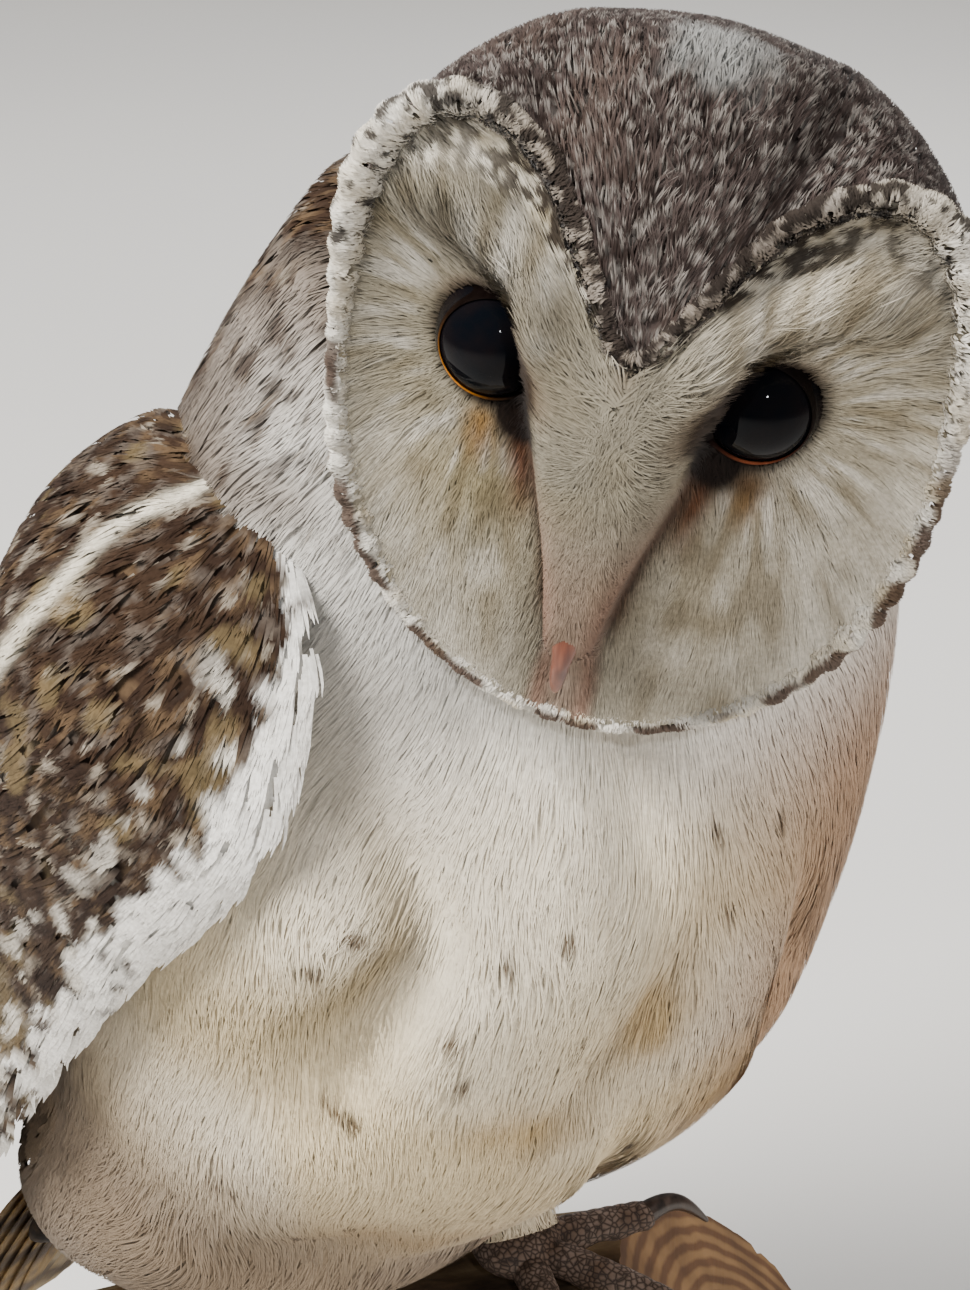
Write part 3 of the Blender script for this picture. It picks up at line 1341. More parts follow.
def lay_tufts(surface, a, b, heading, length, depth, width, colours_at, unroll, seed,
              barbs=7, fan=0.35, rows=3, rise=0.0, shaft=0.0, scatter=0.4, root_shade=0.72,
              vary=0.1, softness=0.7, blunt=1.5):
    """Points, faces, colours, bake places and normals of one tuft at each root (a, b).

    heading is the angle from the a direction towards the b direction. Barb j starts `shaft` of
    the length further on for each step, sets off within `fan` of the heading, and at a share t
    of its way stands -depth (1 - t)^1.6 + rise t over the outline. Its width is `width`
    (1 - 0.9 t^blunt), so a high blunt keeps it broad to its end. A tuft's tone varies by `vary`.
    Its normals are the barbs' own, turned by `softness` towards the skin's, so that a coat is
    lit as one soft form."""
    draw = np.random.default_rng(seed)
    n = len(a)
    length, depth, width, rise, fan = (
        np.broadcast_to(v, (n,))[:, None] for v in (length, depth, width, rise, fan)
    )
    step_a, step_b = steps_on(surface, a, b)
    size_a = np.linalg.norm(step_a, axis=1)[:, None, None]
    size_b = np.linalg.norm(step_b, axis=1)[:, None, None]
    normal = np.cross(step_a, step_b)
    normal /= np.linalg.norm(normal, axis=1, keepdims=True)
    out = surface(a, b, 1.0) - surface(a, b)
    normal *= np.sign(np.sum(normal * out, axis=1, keepdims=True))
    order = np.linspace(0, 1, barbs)
    side = (np.arange(barbs) % 2) * 2 - 1
    opening = fan * (side * (1 - 0.8 * order * (shaft > 0)) * draw.uniform(0.2, 1, (n, barbs)))
    turned = heading[:, None] + opening
    reach = length * draw.uniform(0.72, 1.08, (n, barbs)) * (1 - 0.45 * order * (shaft > 0))
    start = shaft * length * order
    aside = scatter * draw.normal(size=(2, n, barbs))
    t = np.linspace(0, 1, rows + 1)
    gone = reach[..., None] * t
    move_a = np.cos(heading)[:, None, None] * start[..., None] + np.cos(turned)[..., None] * gone
    move_b = np.sin(heading)[:, None, None] * start[..., None] + np.sin(turned)[..., None] * gone
    at_a = a[:, None, None] + (move_a + aside[0][..., None]) / size_a
    at_b = b[:, None, None] + (move_b + aside[1][..., None]) / size_b
    tips = rise[..., None] * draw.uniform(0.4, 1.3, (n, barbs, 1))
    low = -depth[..., None] * draw.uniform(0.85, 1.0, (n, barbs, 1))
    height = low * (1 - t) ** 1.6 + tips * t
    centre = surface(at_a, at_b, height)
    way = np.gradient(centre, axis=2)
    across = unit(np.cross(way, normal[:, None, None]))
    half = 0.5 * width[..., None] * draw.uniform(0.75, 1.2, (n, barbs, 1)) * (1 - 0.9 * t**blunt)
    edges = np.stack([centre - across * half[..., None], centre + across * half[..., None]], 3)
    shade = blend(root_shade, 1.0, np.minimum(1, 1.6 * t))
    tone = 1 + vary * draw.normal(size=(n, 1, 1)) + 0.5 * vary * draw.normal(size=(n, barbs, 1))
    colours = colours_at(at_a, at_b, centre) * (shade * tone)[..., None]
    colours = np.repeat(colours[:, :, :, None], 2, 3)
    home = np.stack(unroll(a, b), -1)[:, None, None, None]
    patch_u = (np.arange(barbs)[:, None, None] + np.array([0, 1])) / barbs - 0.5
    patch_v = t[None, :, None] - 0.5
    patch = np.stack(np.broadcast_arrays(patch_u, patch_v), -1)
    bake = np.clip(home + BAKE_PATCH * patch, 0, 1)
    strip = np.array([0, 1, 3, 2]) + 2 * np.arange(rows)[:, None]
    strips = np.arange(n * barbs)[:, None, None] * (2 * (rows + 1)) + strip
    facing = blend(unit(np.cross(across, way)), normal[:, None, None], softness)
    facing = np.repeat(facing[:, :, :, None], 2, 3)
    return (
        edges.reshape(-1, 3), strips.reshape(-1, 4), colours.reshape(-1, 3),
        bake.reshape(-1, 2), facing.reshape(-1, 3),
    )


def coat_piece(name, finish, slot, *lots):
    """One piece from several lots of tufts."""
    points, faces, colours, bake, normals = joined(lots)
    piece = new_piece(name, points, faces, finish, colours, bake=bake, normals=normals)
    belongs(piece, slot)
    print(name, "has", 2 * len(faces), "triangles")


def off_trunk(margin):
    """A filter for roots: those that don't lie inside the trunk by more than a margin."""
    return lambda a, b, points: ~inside_trunk(points, margin)


# %% [markdown]
# ## The face
#
# The face is covered with fine, hair-like bristles, the smallest tufts of all. Between the eyes
# they sweep out and up from the ridge, on its lower half they run down to the bill, and on the
# cheeks they radiate from each eye towards the rim.

# %% Bristles of the face
FACE_SPACING = 0.95
UNDER_SPACING = 1.7
FACE_MAP = 104  # millimetres of the face over the whole map
CREST_SPACING = 0.72
CREST_WIDTH = 3.0
FRINGE_TUFTS = 420
FRINGE_REACH = 3.4
GOLDEN_ANGLE = np.pi * (3 - np.sqrt(5))


def face_heading(x, z):
    """Angle of lie on the face, from the x direction towards z: a blend of flow off the ridge
    and flow away from the eye."""
    side = np.where(x < 0, -1.0, 1.0)
    across = np.abs(x)
    up = smooth(z, -14, 8)
    off_ridge_x = blend(0.22, 0.8, up)
    off_ridge_z = blend(-1.0, 0.75, up)
    from_eye_x = (across - EYE_SPREAD) / 10
    from_eye_z = z / 10
    reach = np.hypot(from_eye_x, from_eye_z) + 0.05
    share = smooth(across - 16 * smooth(z, 8, 24), 12, 21)
    share = np.maximum(share, smooth(-z, 12, 26) * smooth(across, 7, 13))
    flow_x = blend(off_ridge_x, from_eye_x / reach, share)
    flow_z = blend(off_ridge_z, from_eye_z / reach, share)
    return np.arctan2(flow_z, side * flow_x)


def on_face(x, z, points):
    """Roots that lie on the disc, and beside the eyes or on the brow where it overhangs them."""
    over_glass = face_depth(x, z) > glass_depth(x, z) + 0.5
    beside = from_eye(x, z) > EYE_OPENING + 0.3
    phi, rho = polar(x, z)
    return (rho < 0.975 + 0.03 * bump(phi, 0.35)) & over_glass & (beside | (z > -2))


def face_unroll(x, z):
    """The face is flat enough to be its own map."""
    return 0.5 + x / FACE_MAP, 0.52 + z / FACE_MAP


def eye_fringe(sign):
    """Roots close round an eye, and their headings straight away from it: rings of places, each
    turned on by the golden angle."""
    steps = np.arange(FRINGE_TUFTS)
    turn = steps * GOLDEN_ANGLE
    away = EYE_OPENING + 0.35 + FRINGE_REACH * steps / FRINGE_TUFTS
    x = EYE_SHIFT + sign * EYE_SPREAD + away * np.cos(turn)
    z = away * np.sin(turn)
    kept = on_face(x, z, None)
    return x[kept], z[kept], turn[kept]


FACE_BOTTOM_TOP = (-54, 44)
for sign, side, low, high in ((-1, "right", -50, 0.2), (1, "left", -0.2, 50)):
    x, z = spread_roots(face_surface, (low, high), FACE_BOTTOM_TOP, UNDER_SPACING, on_face, 99)
    under = lay_tufts(
        face_surface, x, z, face_heading(x, z), 3.6, COAT_DEPTH["face"], 1.2, face_colours,
        face_unroll, 100, barbs=5, fan=0.5, rows=2, rise=-0.35, vary=0.03, root_shade=0.95,
    )
    x, z = spread_roots(face_surface, (low, high), FACE_BOTTOM_TOP, FACE_SPACING, on_face, 101)
    draw = np.random.default_rng(102)
    near_eye = 1 - smooth(from_eye(x, z), EYE_OPENING + 1, EYE_OPENING + 6)
    phi, rho = polar(x, z)
    band = brow_band(phi, rho)
    brow = bump(z - along(BROW, np.abs(x))[0], 8) * (1 - band) * smooth(1 - rho, 0, 0.2)
    length = blend(5.2, 2.6, near_eye) + 2.2 * smooth(rho, 0.45, 0.8) * smooth(-z, -5, 15)
    length = length * (1 - 0.35 * smooth(rho, 0.8, 1.0)) * (1 - 0.3 * band) + 1.2 * brow
    parting = bump(x, 2.4) * bump(z + 3, 14)
    heading = face_heading(x, z) + (0.11 + 0.6 * parting) * draw.normal(size=len(x))
    bristles = lay_tufts(
        face_surface, x, z, heading, length, 0.6, 0.28, face_colours, face_unroll,
        103, barbs=7, fan=0.18, rise=0.2 + 1.0 * brow, scatter=0.35, vary=0.05, root_shade=0.9,
        softness=0.8,
    )
    # along the ridge's crest the two sides' bristles part, and fine ones lying down close the gap
    beside_crest = sorted((0.0, sign * CREST_WIDTH))
    x, z = spread_roots(face_surface, beside_crest, (-22, 4), CREST_SPACING, on_face, 105)
    crest = lay_tufts(
        face_surface, x, z, np.radians(-90) + 0.35 * draw.normal(size=len(x)), 3.4, 0.5, 0.26,
        face_colours, face_unroll, 106, barbs=7, fan=0.2, rise=0.25, scatter=0.3, vary=0.05,
        root_shade=0.92, softness=0.8,
    )
    x, z, away = eye_fringe(sign)
    fringe = lay_tufts(
        face_surface, x, z, away, 1.9, 0.6, 0.24, face_colours, face_unroll,
        104, barbs=6, fan=0.3, rows=2, rise=0.2, scatter=0.15, vary=0.05, root_shade=0.8,
    )
    coat_piece(f"face_bristles_{side}", FACE_FINISH, "disc_feathers", under, bristles, crest, fringe)

# %% [markdown]
# ## Rim and brow rolls
#
# Round the disc stands a ruff of short, stiff feathers, with cream beads inside and a broken dark
# line outside. Over the eyes it swells into thick white rolls, speckled black towards the notch.
# It is a tube along the rim's curve, and its feathers stand out from it.

# %% The rim as a tube
RIM_SCALLOPS = 64
RIM_SPACING = 0.92


def over_brows(phi):
    """1 over the brows, where the rim is a thick roll, falling off to 0 on both sides."""
    return bump_turn(np.abs(phi), 56, 23)


def beaded(phi):
    """1 on the lower cheeks, where the rim's feathers bunch into beads, falling off to 0."""
    return bump_turn(np.abs(phi), 122, 26)


def rim_radius(phi):
    """Radius of the rim's roll by angle: thin below and in the notch, thick over the brows, and
    a little thicker again where the beads are."""
    return 1.6 + 1.5 * over_brows(phi) + 0.6 * beaded(phi)


def rim_surface(phi, around, height=0.0):
    """World points of the rim's roll: around is 0 towards the face's middle and a quarter turn
    straight forward."""
    rim = heart(phi)
    slope = (heart(phi + 0.01) - heart(phi - 0.01)) / 0.02
    along_x = rim * np.cos(phi) + slope * np.sin(phi)
    along_z = slope * np.cos(phi) - rim * np.sin(phi)
    tangent = unit(np.stack([along_x, along_z], -1))
    outward_x, outward_z = -tangent[..., 1], tangent[..., 0]
    base = face_depth(rim * np.sin(phi), DISC_MIDDLE + rim * np.cos(phi))
    upper = 1 - smooth_turn(np.abs(phi), 70, 95)
    wave = blend(0.05, 0.08, upper) + 0.08 * beaded(phi)
    thick = rim_radius(phi) * (1 + wave * np.sin(RIM_SCALLOPS * phi))
    r = np.maximum(thick + height, 0.2)
    off = -r * np.cos(around) + 0.1 * thick
    x = rim * np.sin(phi) + outward_x * off
    z = DISC_MIDDLE + rim * np.cos(phi) + outward_z * off
    return face_to_world(x, base - 1.2 + r * np.sin(around), z)


def rim_colours(phi, around, points):
    """White rolls over the brows with black specks, black-brown towards the notch, and below
    them cream beads with a dark broken line on the outer side."""
    off = np.abs(phi)
    cream = flecks(points, 4, 71, 0.4, 0.8) * (0.3 + 0.4 * smooth(off, 1.2, 1.6))
    towards_notch = 1 - smooth_turn(off, 24, 48)
    crown_side = smooth_turn(around, 80, 130) * (1 - smooth_turn(off, 60, 80))
    level = 0.7 - 0.22 * towards_notch - 0.12 * crown_side + 0.2 * smooth_turn(off, 64, 90)
    outer = smooth_turn(around, 72, 94)
    line = outer * flecks(points, 5, 73, 0.42, 0.54) * smooth_turn(off, 75, 95)
    return tint(
        all_over("#d6d1c6", points),
        ("#b7a684", cream),
        ("#665a50", towards_notch * 0.85),
        ("#211a17", flecks(points, 1.3, 72, level, level + 0.06) * 0.92),
        ("#3f2a1e", line * 0.92),
    )


phi, around = spread_roots(
    rim_surface, (-np.pi, np.pi), np.radians((-30, 200)), RIM_SPACING, off_trunk(1.0), 111
)
draw = np.random.default_rng(112)
thick = over_brows(phi)
rim_feathers = lay_tufts(
    rim_surface, phi, around, np.radians(90) + 0.2 * draw.normal(size=len(phi)),
    blend(1.6, 2.3, thick), 0.9, 0.42, rim_colours,
    lambda a, b: (0.5 + a / 6.6, 0.1 + b / 5.2), 113,
    barbs=7, fan=0.28, rows=2, rise=0.1 + 0.1 * thick, scatter=0.3, vary=0.05, root_shade=0.88,
    softness=0.8, blunt=2.5,
)
coat_piece("disc_rim_feathers", FACE_FINISH, "disc_feathers", rim_feathers)

# %% [markdown]
# ## Crown and nape
#
# The crown's feathers are tiny and hair-like. They flow back from the notch over the skull, and
# from the ears down the sides of the neck, where they grow longer.

# %% Feathers of the crown, cheeks and nape
CROWN_SPACING = 1.48


def crown_unroll(phi, m):
    """The skull seen from the face's side: the rim is a small ring, the nape the map's edge."""
    reach = 0.03 + 0.45 * m
    return 0.5 + reach * np.sin(phi), 0.5 + reach * np.cos(phi)


for side, low, high in (("right", -np.pi, 0.0), ("left", 0.0, np.pi)):
    phi, m = spread_roots(
        skull_surface, (low, high), (0.006, 0.93), CROWN_SPACING, off_trunk(1.0), 121
    )
    draw = np.random.default_rng(122)
    crown = 1 - smooth_turn(np.abs(phi), 70, 110)
    length = blend(7.0, 2.5, crown)
    tufts = lay_tufts(
        skull_surface, phi, m, np.radians(90) + 0.28 * draw.normal(size=len(phi)),
        length, blend(1.2, 0.9, crown), blend(0.5, 0.3, crown), crown_colours, crown_unroll, 123,
        barbs=8, fan=0.3, rise=blend(0.4, 0.3, crown), scatter=0.45, vary=0.1, root_shade=0.78,
    )
    coat_piece(f"crown_feathers_{side}", CROWN_FINISH, "crown_feathers", tufts)

# %% [markdown]
# ## Breast, belly and mantle
#
# The breast is silky down: long, fine barbs that lie close and part into locks. The back of the
# trunk carries the mantle's firmer, mottled feathers.

# %% Down of the breast and feathers of the back
SIDE_OF_BREAST = np.radians(112)


def clear_of_wings(points):
    """Roots of the trunk that the wings and the head don't cover."""
    return ~(inside_wing(points, 1, 2.5) | inside_wing(points, -1, 2.5) | inside_head(points, 2.0))


def body_unroll(angle, h):
    """The trunk unrolled about its spine."""
    return 0.5 + angle / 6.6, 0.03 + (h + 82) / 275


def beside_back(angle, h, points):
    """Breast and belly, and higher up the sides of the neck as well."""
    reach = SIDE_OF_BREAST + np.radians(30) * smooth(h, 100, 112)
    return clear_of_wings(points) & (np.abs(angle) < reach)


def on_back(angle, h, points):
    """The back, and not the sides of the neck; the angle runs on through half a turn."""
    reach = SIDE_OF_BREAST + np.radians(22) * smooth(h, 100, 112)
    return clear_of_wings(points) & (from_front(angle) > reach)


def down_sway(angle, h):
    """Slow turns of the lie, so that the down parts into soft locks."""
    return 0.9 * (noise(trunk_surface(angle, h), 16, 133) - 0.5)


# name, angles from and to, heights from and to, spacing
for name, turn_from, turn_to, low, high, spacing in (
    ("breast_down_right", -142, 0, 30, 172, 2.15),
    ("breast_down_left", 0, 142, 30, 172, 2.3),
    ("belly_down", -112, 112, -76, 30, 2.85),
):
    reach = np.radians((turn_from, turn_to))
    angle, h = spread_roots(trunk_surface, reach, (low, high), 1.5 * spacing, beside_back, 129)
    under = lay_tufts(
        trunk_surface, angle, h, np.radians(-90) + down_sway(angle, h), 11.0, COAT_DEPTH["trunk"],
        2.6, body_colours, body_unroll, 130, barbs=5, fan=0.3, rows=2, rise=-0.6, scatter=1.0,
        vary=0.02, root_shade=0.97, softness=0.9,
    )
    angle, h = spread_roots(trunk_surface, reach, (low, high), spacing, beside_back, 131)
    draw = np.random.default_rng(132)
    heading = np.radians(-90) + down_sway(angle, h) + 0.07 * draw.normal(size=len(angle))
    down = lay_tufts(
        trunk_surface, angle, h, heading, blend(13.0, 8.0, smooth(h, 104, 128)), 0.9, 0.46,
        body_colours, body_unroll, 134, barbs=8, fan=0.13, rise=0.15, scatter=0.9, vary=0.03,
        root_shade=0.95, softness=0.9,
    )
    coat_piece(name, DOWN_FINISH, "breast_feathers", under, down)


def back_unroll(angle, h):
    """The back's part of the unrolled trunk, spread over the whole map."""
    return angle / 4.5 - 0.4, body_unroll(angle, h)[1]


BACK_SPACING = 3.4
angle, h = spread_roots(
    trunk_surface, np.radians((112, 248)), (-70, 172), BACK_SPACING, on_back, 141
)
draw = np.random.default_rng(142)
back = lay_tufts(
    trunk_surface, angle, h, np.radians(-90) + 0.2 * draw.normal(size=len(angle)),
    11.0, 1.2, 1.2, body_colours, back_unroll, 143,
    barbs=8, fan=0.32, rise=0.1, shaft=0.4, scatter=0.5, vary=0.08, root_shade=0.88, softness=0.8,
    blunt=3.5,
)
coat_piece("mantle_feathers", MOTTLED_FINISH, "wing_feathers", back)

# %% [markdown]
# ## Wings and tail
#
# Small, soft coverts clothe the shoulder, and larger ones follow. The long quills are modelled
# one by one as curved vanes with a shaft, a rounded tip and bars.

# %% Coverts
def wing_heading(c, draw):
    """Coverts lie down the wing and a little towards its trailing edge."""
    inward = smooth(c, 0.05, 0.3)
    return np.radians(-90) + (0.04 + 0.1 * inward) * draw.normal(size=len(c)) + 0.12 * inward


def wing_unroll(c, h):
    """The wing laid flat."""
    return 0.03 + 0.94 * c, 0.02 + (h + 2) / 142


# small coverts of the shoulder and larger ones: spacing, heights from and to, length, width, seed
COVERTS = [(1.95, 58, 134, 6.5, 0.62, 151), (2.7, 6, 64, 11.0, 1.0, 154)]

for sign, side in SIDES:
    surface = wing_surface(sign)
    lots = []
    for spacing, low, high, length, width, seed in COVERTS:
        c, h = spread_roots(
            surface, (0.0, 1.0), (low, high), spacing,
            lambda a, b, points: ~inside_head(points, 2.0), seed,
        )
        draw = np.random.default_rng(seed + 1)
        edge = bump(c, 0.14)
        lots.append(
            lay_tufts(
                surface, c, h, wing_heading(c, draw), length * (1 + 0.3 * edge), 0.9,
                width, wing_colours, wing_unroll, seed + 2, barbs=8, fan=0.24 - 0.16 * edge,
                rise=0.1, shaft=0.35, scatter=0.35, vary=0.06, root_shade=0.9, softness=0.8,
                blunt=3.5,
            )
        )
    coat_piece(f"wing_coverts_{side}", MOTTLED_FINISH, "wing_feathers", *lots)


# %% Quills
def barred(base, dark, across, share, bars, seed):
    """Colours of a barred vane: buff ground, brown bars across it that fade at their edges,
    fine freckles, and a pale inner side."""
    places = np.stack([across * 12 + seed * 31, share * 60, np.full_like(across, seed * 7.0)], -1)
    wobble = 0.25 * (noise(places, 5, 161) - 0.5)
    wave = 0.5 + 0.5 * np.cos(TAU * (share * bars + wobble))
    freckles = flecks(places, 1.4, 162, 0.6, 0.75) * smooth(1 - across, 0.2, 0.8)
    return tint(
        all_over(base, places),
        ("#d9cbb0", smooth(across, 0.55, 1.0) * 0.7),
        (dark, smooth(wave, 0.62, 0.82) * 0.85),
        ("#6f6257", freckles * 0.6),
    )


QUILL_ROWS = 30
QUILL_ACROSS = 9
QUILL_END = 9  # power that rounds a quill's end
VANE_THICK = 0.35


def quill(root, tip, out, width, bow, arch, colours):
    """One long feather: a strip from root to tip, widest after its middle, rounded at the end.
    bow lifts its middle along `out`, arch drops its two edges, and the shaft is a low keel.
    colours are barred()'s ground, bars, count of bars and seed."""
    share = np.linspace(0, 1, QUILL_ROWS)[:, None]
    side = np.linspace(-1, 1, QUILL_ACROSS)[None, :]
    way = tip - root
    way /= np.linalg.norm(way)
    right = np.cross(way, out)
    right /= np.linalg.norm(right)
    up = np.cross(right, way)
    half = width / 2 * (0.35 + 0.65 * smooth(share, 0, 0.35)) * rounded(share, QUILL_END)
    lift = arched(bow, share) - arch * side**2 + 0.35 * bump(side, 0.12)
    skew = side + 0.12 * (1 - side**2)
    points = (
        root
        + (tip - root) * share[..., None]
        + right * (half * skew)[..., None]
        + up * (lift * rounded(share, QUILL_END))[..., None]
    )
    across, down = np.broadcast_arrays(0.5 + 0.5 * side, share)
    ground, dark, bars, seed = colours
    shaft = bump(side, 0.09) * np.ones_like(share) * 0.7
    tones = tint(barred(ground, dark, across, down, bars, seed), ("#cdbf9f", shaft))
    vane = np.stack([across, down], -1)
    return *meshed(points, wrap=False), tones.reshape(-1, 3), vane.reshape(-1, 2)


def quill_piece(name, quills):
    """Quills joined in one piece, each with its own narrow column of the bake map, and given
    a thin body so that no vane is a mere sheet."""
    points, quads, colours, vanes = joined(quills)
    number = np.repeat(np.arange(len(quills)), len(points) // len(quills))
    column = (number + 0.08 + 0.84 * vanes[:, 0]) / len(quills)
    bake = np.stack([column, 0.01 + 0.98 * vanes[:, 1]], -1)
    piece = new_piece(name, points, quads, QUILL_FINISH, colours, bake=bake, vane=vanes)
    body = piece.modifiers.new("thin body", "SOLIDIFY")
    body.thickness = VANE_THICK * MM
    body.offset = -1
    belongs(piece, "wing_feathers")
    print(name, "has", len(quills), "quills")


def wing_quill(surface, root, tip, faced_at, *shape):
    """A quill between two places (c, h, height) of a wing. It faces the way that the wing's
    surface does at (c, h) = faced_at."""

    def place(c, h, height):
        """One world point of the wing's surface."""
        return surface(np.array([c], float), np.array([h], float), height)[0]

    out = place(*faced_at, 3) - place(*faced_at, 0)
    return quill(place(*root), place(*tip), out, *shape)


SECONDARIES = 9
PRIMARIES = 9
for sign, side in SIDES:
    surface = wing_surface(sign)
    quills = []
    for k in range(PRIMARIES):
        rank = k / (PRIMARIES - 1)
        c_root = blend(0.28, 0.5, rank)
        height = blend(-3.0, -0.8, rank)
        tip = (blend(0.3, 0.72, rank), blend(-143, -88, rank**1.1), 0.15 * height)
        bars = ("#b99763", "#4a3626", 6, k + 3)
        shape = (blend(15, 21, rank), 1.0, 1.6, bars)
        quills.append(wing_quill(surface, (c_root, 10, height - 1), tip, (c_root, -40), *shape))
    for k in range(SECONDARIES):
        rank = k / (SECONDARIES - 1)
        c_root = blend(0.2, 0.86, rank)
        h_tip = blend(-56, -92, rank) + 18 * rank**2
        tip = (blend(0.34, 0.84, rank), h_tip, blend(-0.4, 0.5, rank))
        bars = ("#a88a5e", "#4b392b", 5, k + 17)
        shape = (blend(19, 23, rank), 3.0, 1.8, bars)
        quills.append(wing_quill(surface, (c_root, 34, -2.2), tip, (c_root, -10), *shape))
    quill_piece(f"flight_quills_{side}", quills)

RECTRICES = 12
tail_quills = []
tail_out = body_to_world(0.0, -1.0, 0.0) - body_to_world(0.0, 0.0, 0.0)
for k in range(RECTRICES):
    place = (k - (RECTRICES - 1) / 2) / ((RECTRICES - 1) / 2)
    layer = abs(place)
    root = body_to_world(place * 15.0, -33 - 3 * layer, -44.0)
    tip = body_to_world(place * 19.5, -49.5 - 2.2 * layer, -132.0 + 3 * layer)
    bars = ("#c2a26d", "#54402f", 4.4, k + 41)
    tail_quills.append(quill(root, tip, tail_out, 17, 1.0, 1.0, bars))
quill_piece("tail_quills", tail_quills)

# %% [markdown]
# ## Legs and feet
#
# The legs wear short white feathers to the ankle. The toes are bare, with small scales, soft
# pads under the joints and a dark curved claw. Each toe grips the log.

# %% Feathered legs
LEG_SPACING = 2.2


def leg_unroll(angle, share):
    """The leg unrolled about its middle line."""
    return 0.5 + angle / 6.6, 0.03 + 0.94 * share


for sign, side in SIDES:
    surface = leg_surface(sign)
    angle, share = spread_roots(
        surface, (-np.pi, np.pi), (0.2, 0.95), LEG_SPACING, off_trunk(2.0), 171
    )
    draw = np.random.default_rng(172)
    tufts = lay_tufts(
        surface, angle, share, np.radians(90) + 0.15 * draw.normal(size=len(angle)),
        7.0, COAT_DEPTH["leg"] * 0.9, 0.5, lambda a, b, points: leg_colours(points), leg_unroll, 173,
        barbs=7, fan=0.3, rise=0.4, scatter=0.5, vary=0.06, root_shade=0.75,
    )
    coat_piece(f"leg_feathers_{side}", DOWN_FINISH, "breast_feathers", tufts)


# %% Toes, claws and pads
def foot_finish():
    """Dry, pale brown skin with small scales and dark creases between them."""
    f = Finish("scaly foot skin", Roughness=0.62, Specular_IOR_Level=0.35)
    cells = f.add("ShaderNodeTexVoronoi", Vector=f.object_coords, Scale=900.0)
    cells.feature = "DISTANCE_TO_EDGE"
    scales = f.ramp(cells.outputs["Distance"], [(0.0, "#2c221b"), (0.25, "#76655a")])
    cloud = f.ramp(f.noise(f.object_coords, 160), [(0.3, "#a8937c"), (0.7, "#ffffff")])
    f.bumped(cells.outputs["Distance"], 0.6, 0.0004)
    return f.colour(f.mix(scales, cloud, 0.8, "MULTIPLY"))


def horn_finish(name, dark, light, low, high):
    """Smooth horn with fine lengthwise growth lines, from a dark tone to a light one."""
    f = Finish(name, Roughness=0.32, Specular_IOR_Level=0.5)
    lines = f.noise(f.mapped(f.object_coords, (700, 700, 90)), 1.0, 3.0)
    tone = f.ramp(lines, [(low, dark), (high, light)])
    f.bumped(lines, 0.15, 0.0002)
    return f.colour(tone)


FOOT_FINISH = foot_finish()
CLAW_FINISH = horn_finish("dark claw horn", "#191310", "#4a3c33", 0.3, 0.75)


def toe_places(sign, heading, reaches, lifts):
    """Points over the log along a toe's heading, from the middle of its foot."""
    outward_turn = sign * np.radians(heading)
    ahead = np.array([np.sin(outward_turn), -np.cos(outward_turn)])
    axis = np.array([np.cos(LOG_TURN), np.sin(LOG_TURN)])
    across = np.array([axis[1], -axis[0]])
    reaches = np.asarray(reaches, float)
    distance = sign * FOOT_SPREAD + reaches * ahead.dot(axis)
    return on_log(distance, reaches * ahead.dot(across) / LOG_RADIUS, lifts)


def toe_scales(share, angle):
    """Scales across the top of a toe, and soft pads under its joints."""
    top = np.clip(np.sin(angle), 0, 1)
    under = np.clip(-np.sin(angle), 0, 1)
    return 0.22 * top * np.abs(np.sin(share * np.pi * 9)) + 0.35 * under * np.cos(share * np.pi * 6)


def foot_pad(sign):
    """The flat ball of a foot, with shallow dents, just over the log."""
    aa, rr = np.meshgrid(turns(PAD_SIDES, 0), np.linspace(-np.pi / 2, np.pi / 2, PAD_RINGS))
    centre = on_log(sign * FOOT_SPREAD, 0.0, PAD_RADIUS * PAD_FLAT + FOOT_GAP)
    ball = np.stack([np.cos(aa) * np.cos(rr), np.sin(aa) * np.cos(rr), PAD_FLAT * np.sin(rr)], -1)
    dents = 1 + 0.03 * (noise(ball * 6, 1.0, 181) - 0.5)
    return meshed(centre + (PAD_RADIUS - 0.2) * ball * dents[..., None])


def toe(sign, heading, length):
    """A toe from the pad outwards, with scales, a little thinner towards its end."""
    reaches = blend(4.0, float(length), np.linspace(0, 1, TOE_STEPS))
    path = toe_places(sign, heading, reaches, np.full(TOE_STEPS, TOE_RADIUS + 1.0))

    def radius(s):
        """Radius at a share of the way, closed at both ends."""
        return (TOE_RADIUS - 0.3) * (1 - 0.2 * s) * closing(np.minimum(s, 1 - s) * length, 3.4)

    return tube(path, radius, rows=60, sides=24, relief=toe_scales)


def claw(sign, heading, length):
    """A claw from inside the toe's end: it rises and curves down to a blunt point."""
    share = np.linspace(0, 1, TOE_STEPS)
    lifts = TOE_RADIUS + 1.4 + 3.2 * np.sin(np.pi * share) - share * 4
    path = toe_places(sign, heading, length - 2 + share * CLAW_LENGTH * 0.8, lifts)

    def radius(s):
        """Radius at a share of the way, closed at both ends."""
        return CLAW_RADIUS * blend(1.0, 0.16, s**1.2) * closing(np.minimum(s, 1 - s) * 16, 0.8)

    return tube(path, radius, rows=36, sides=16, flat=1.1)


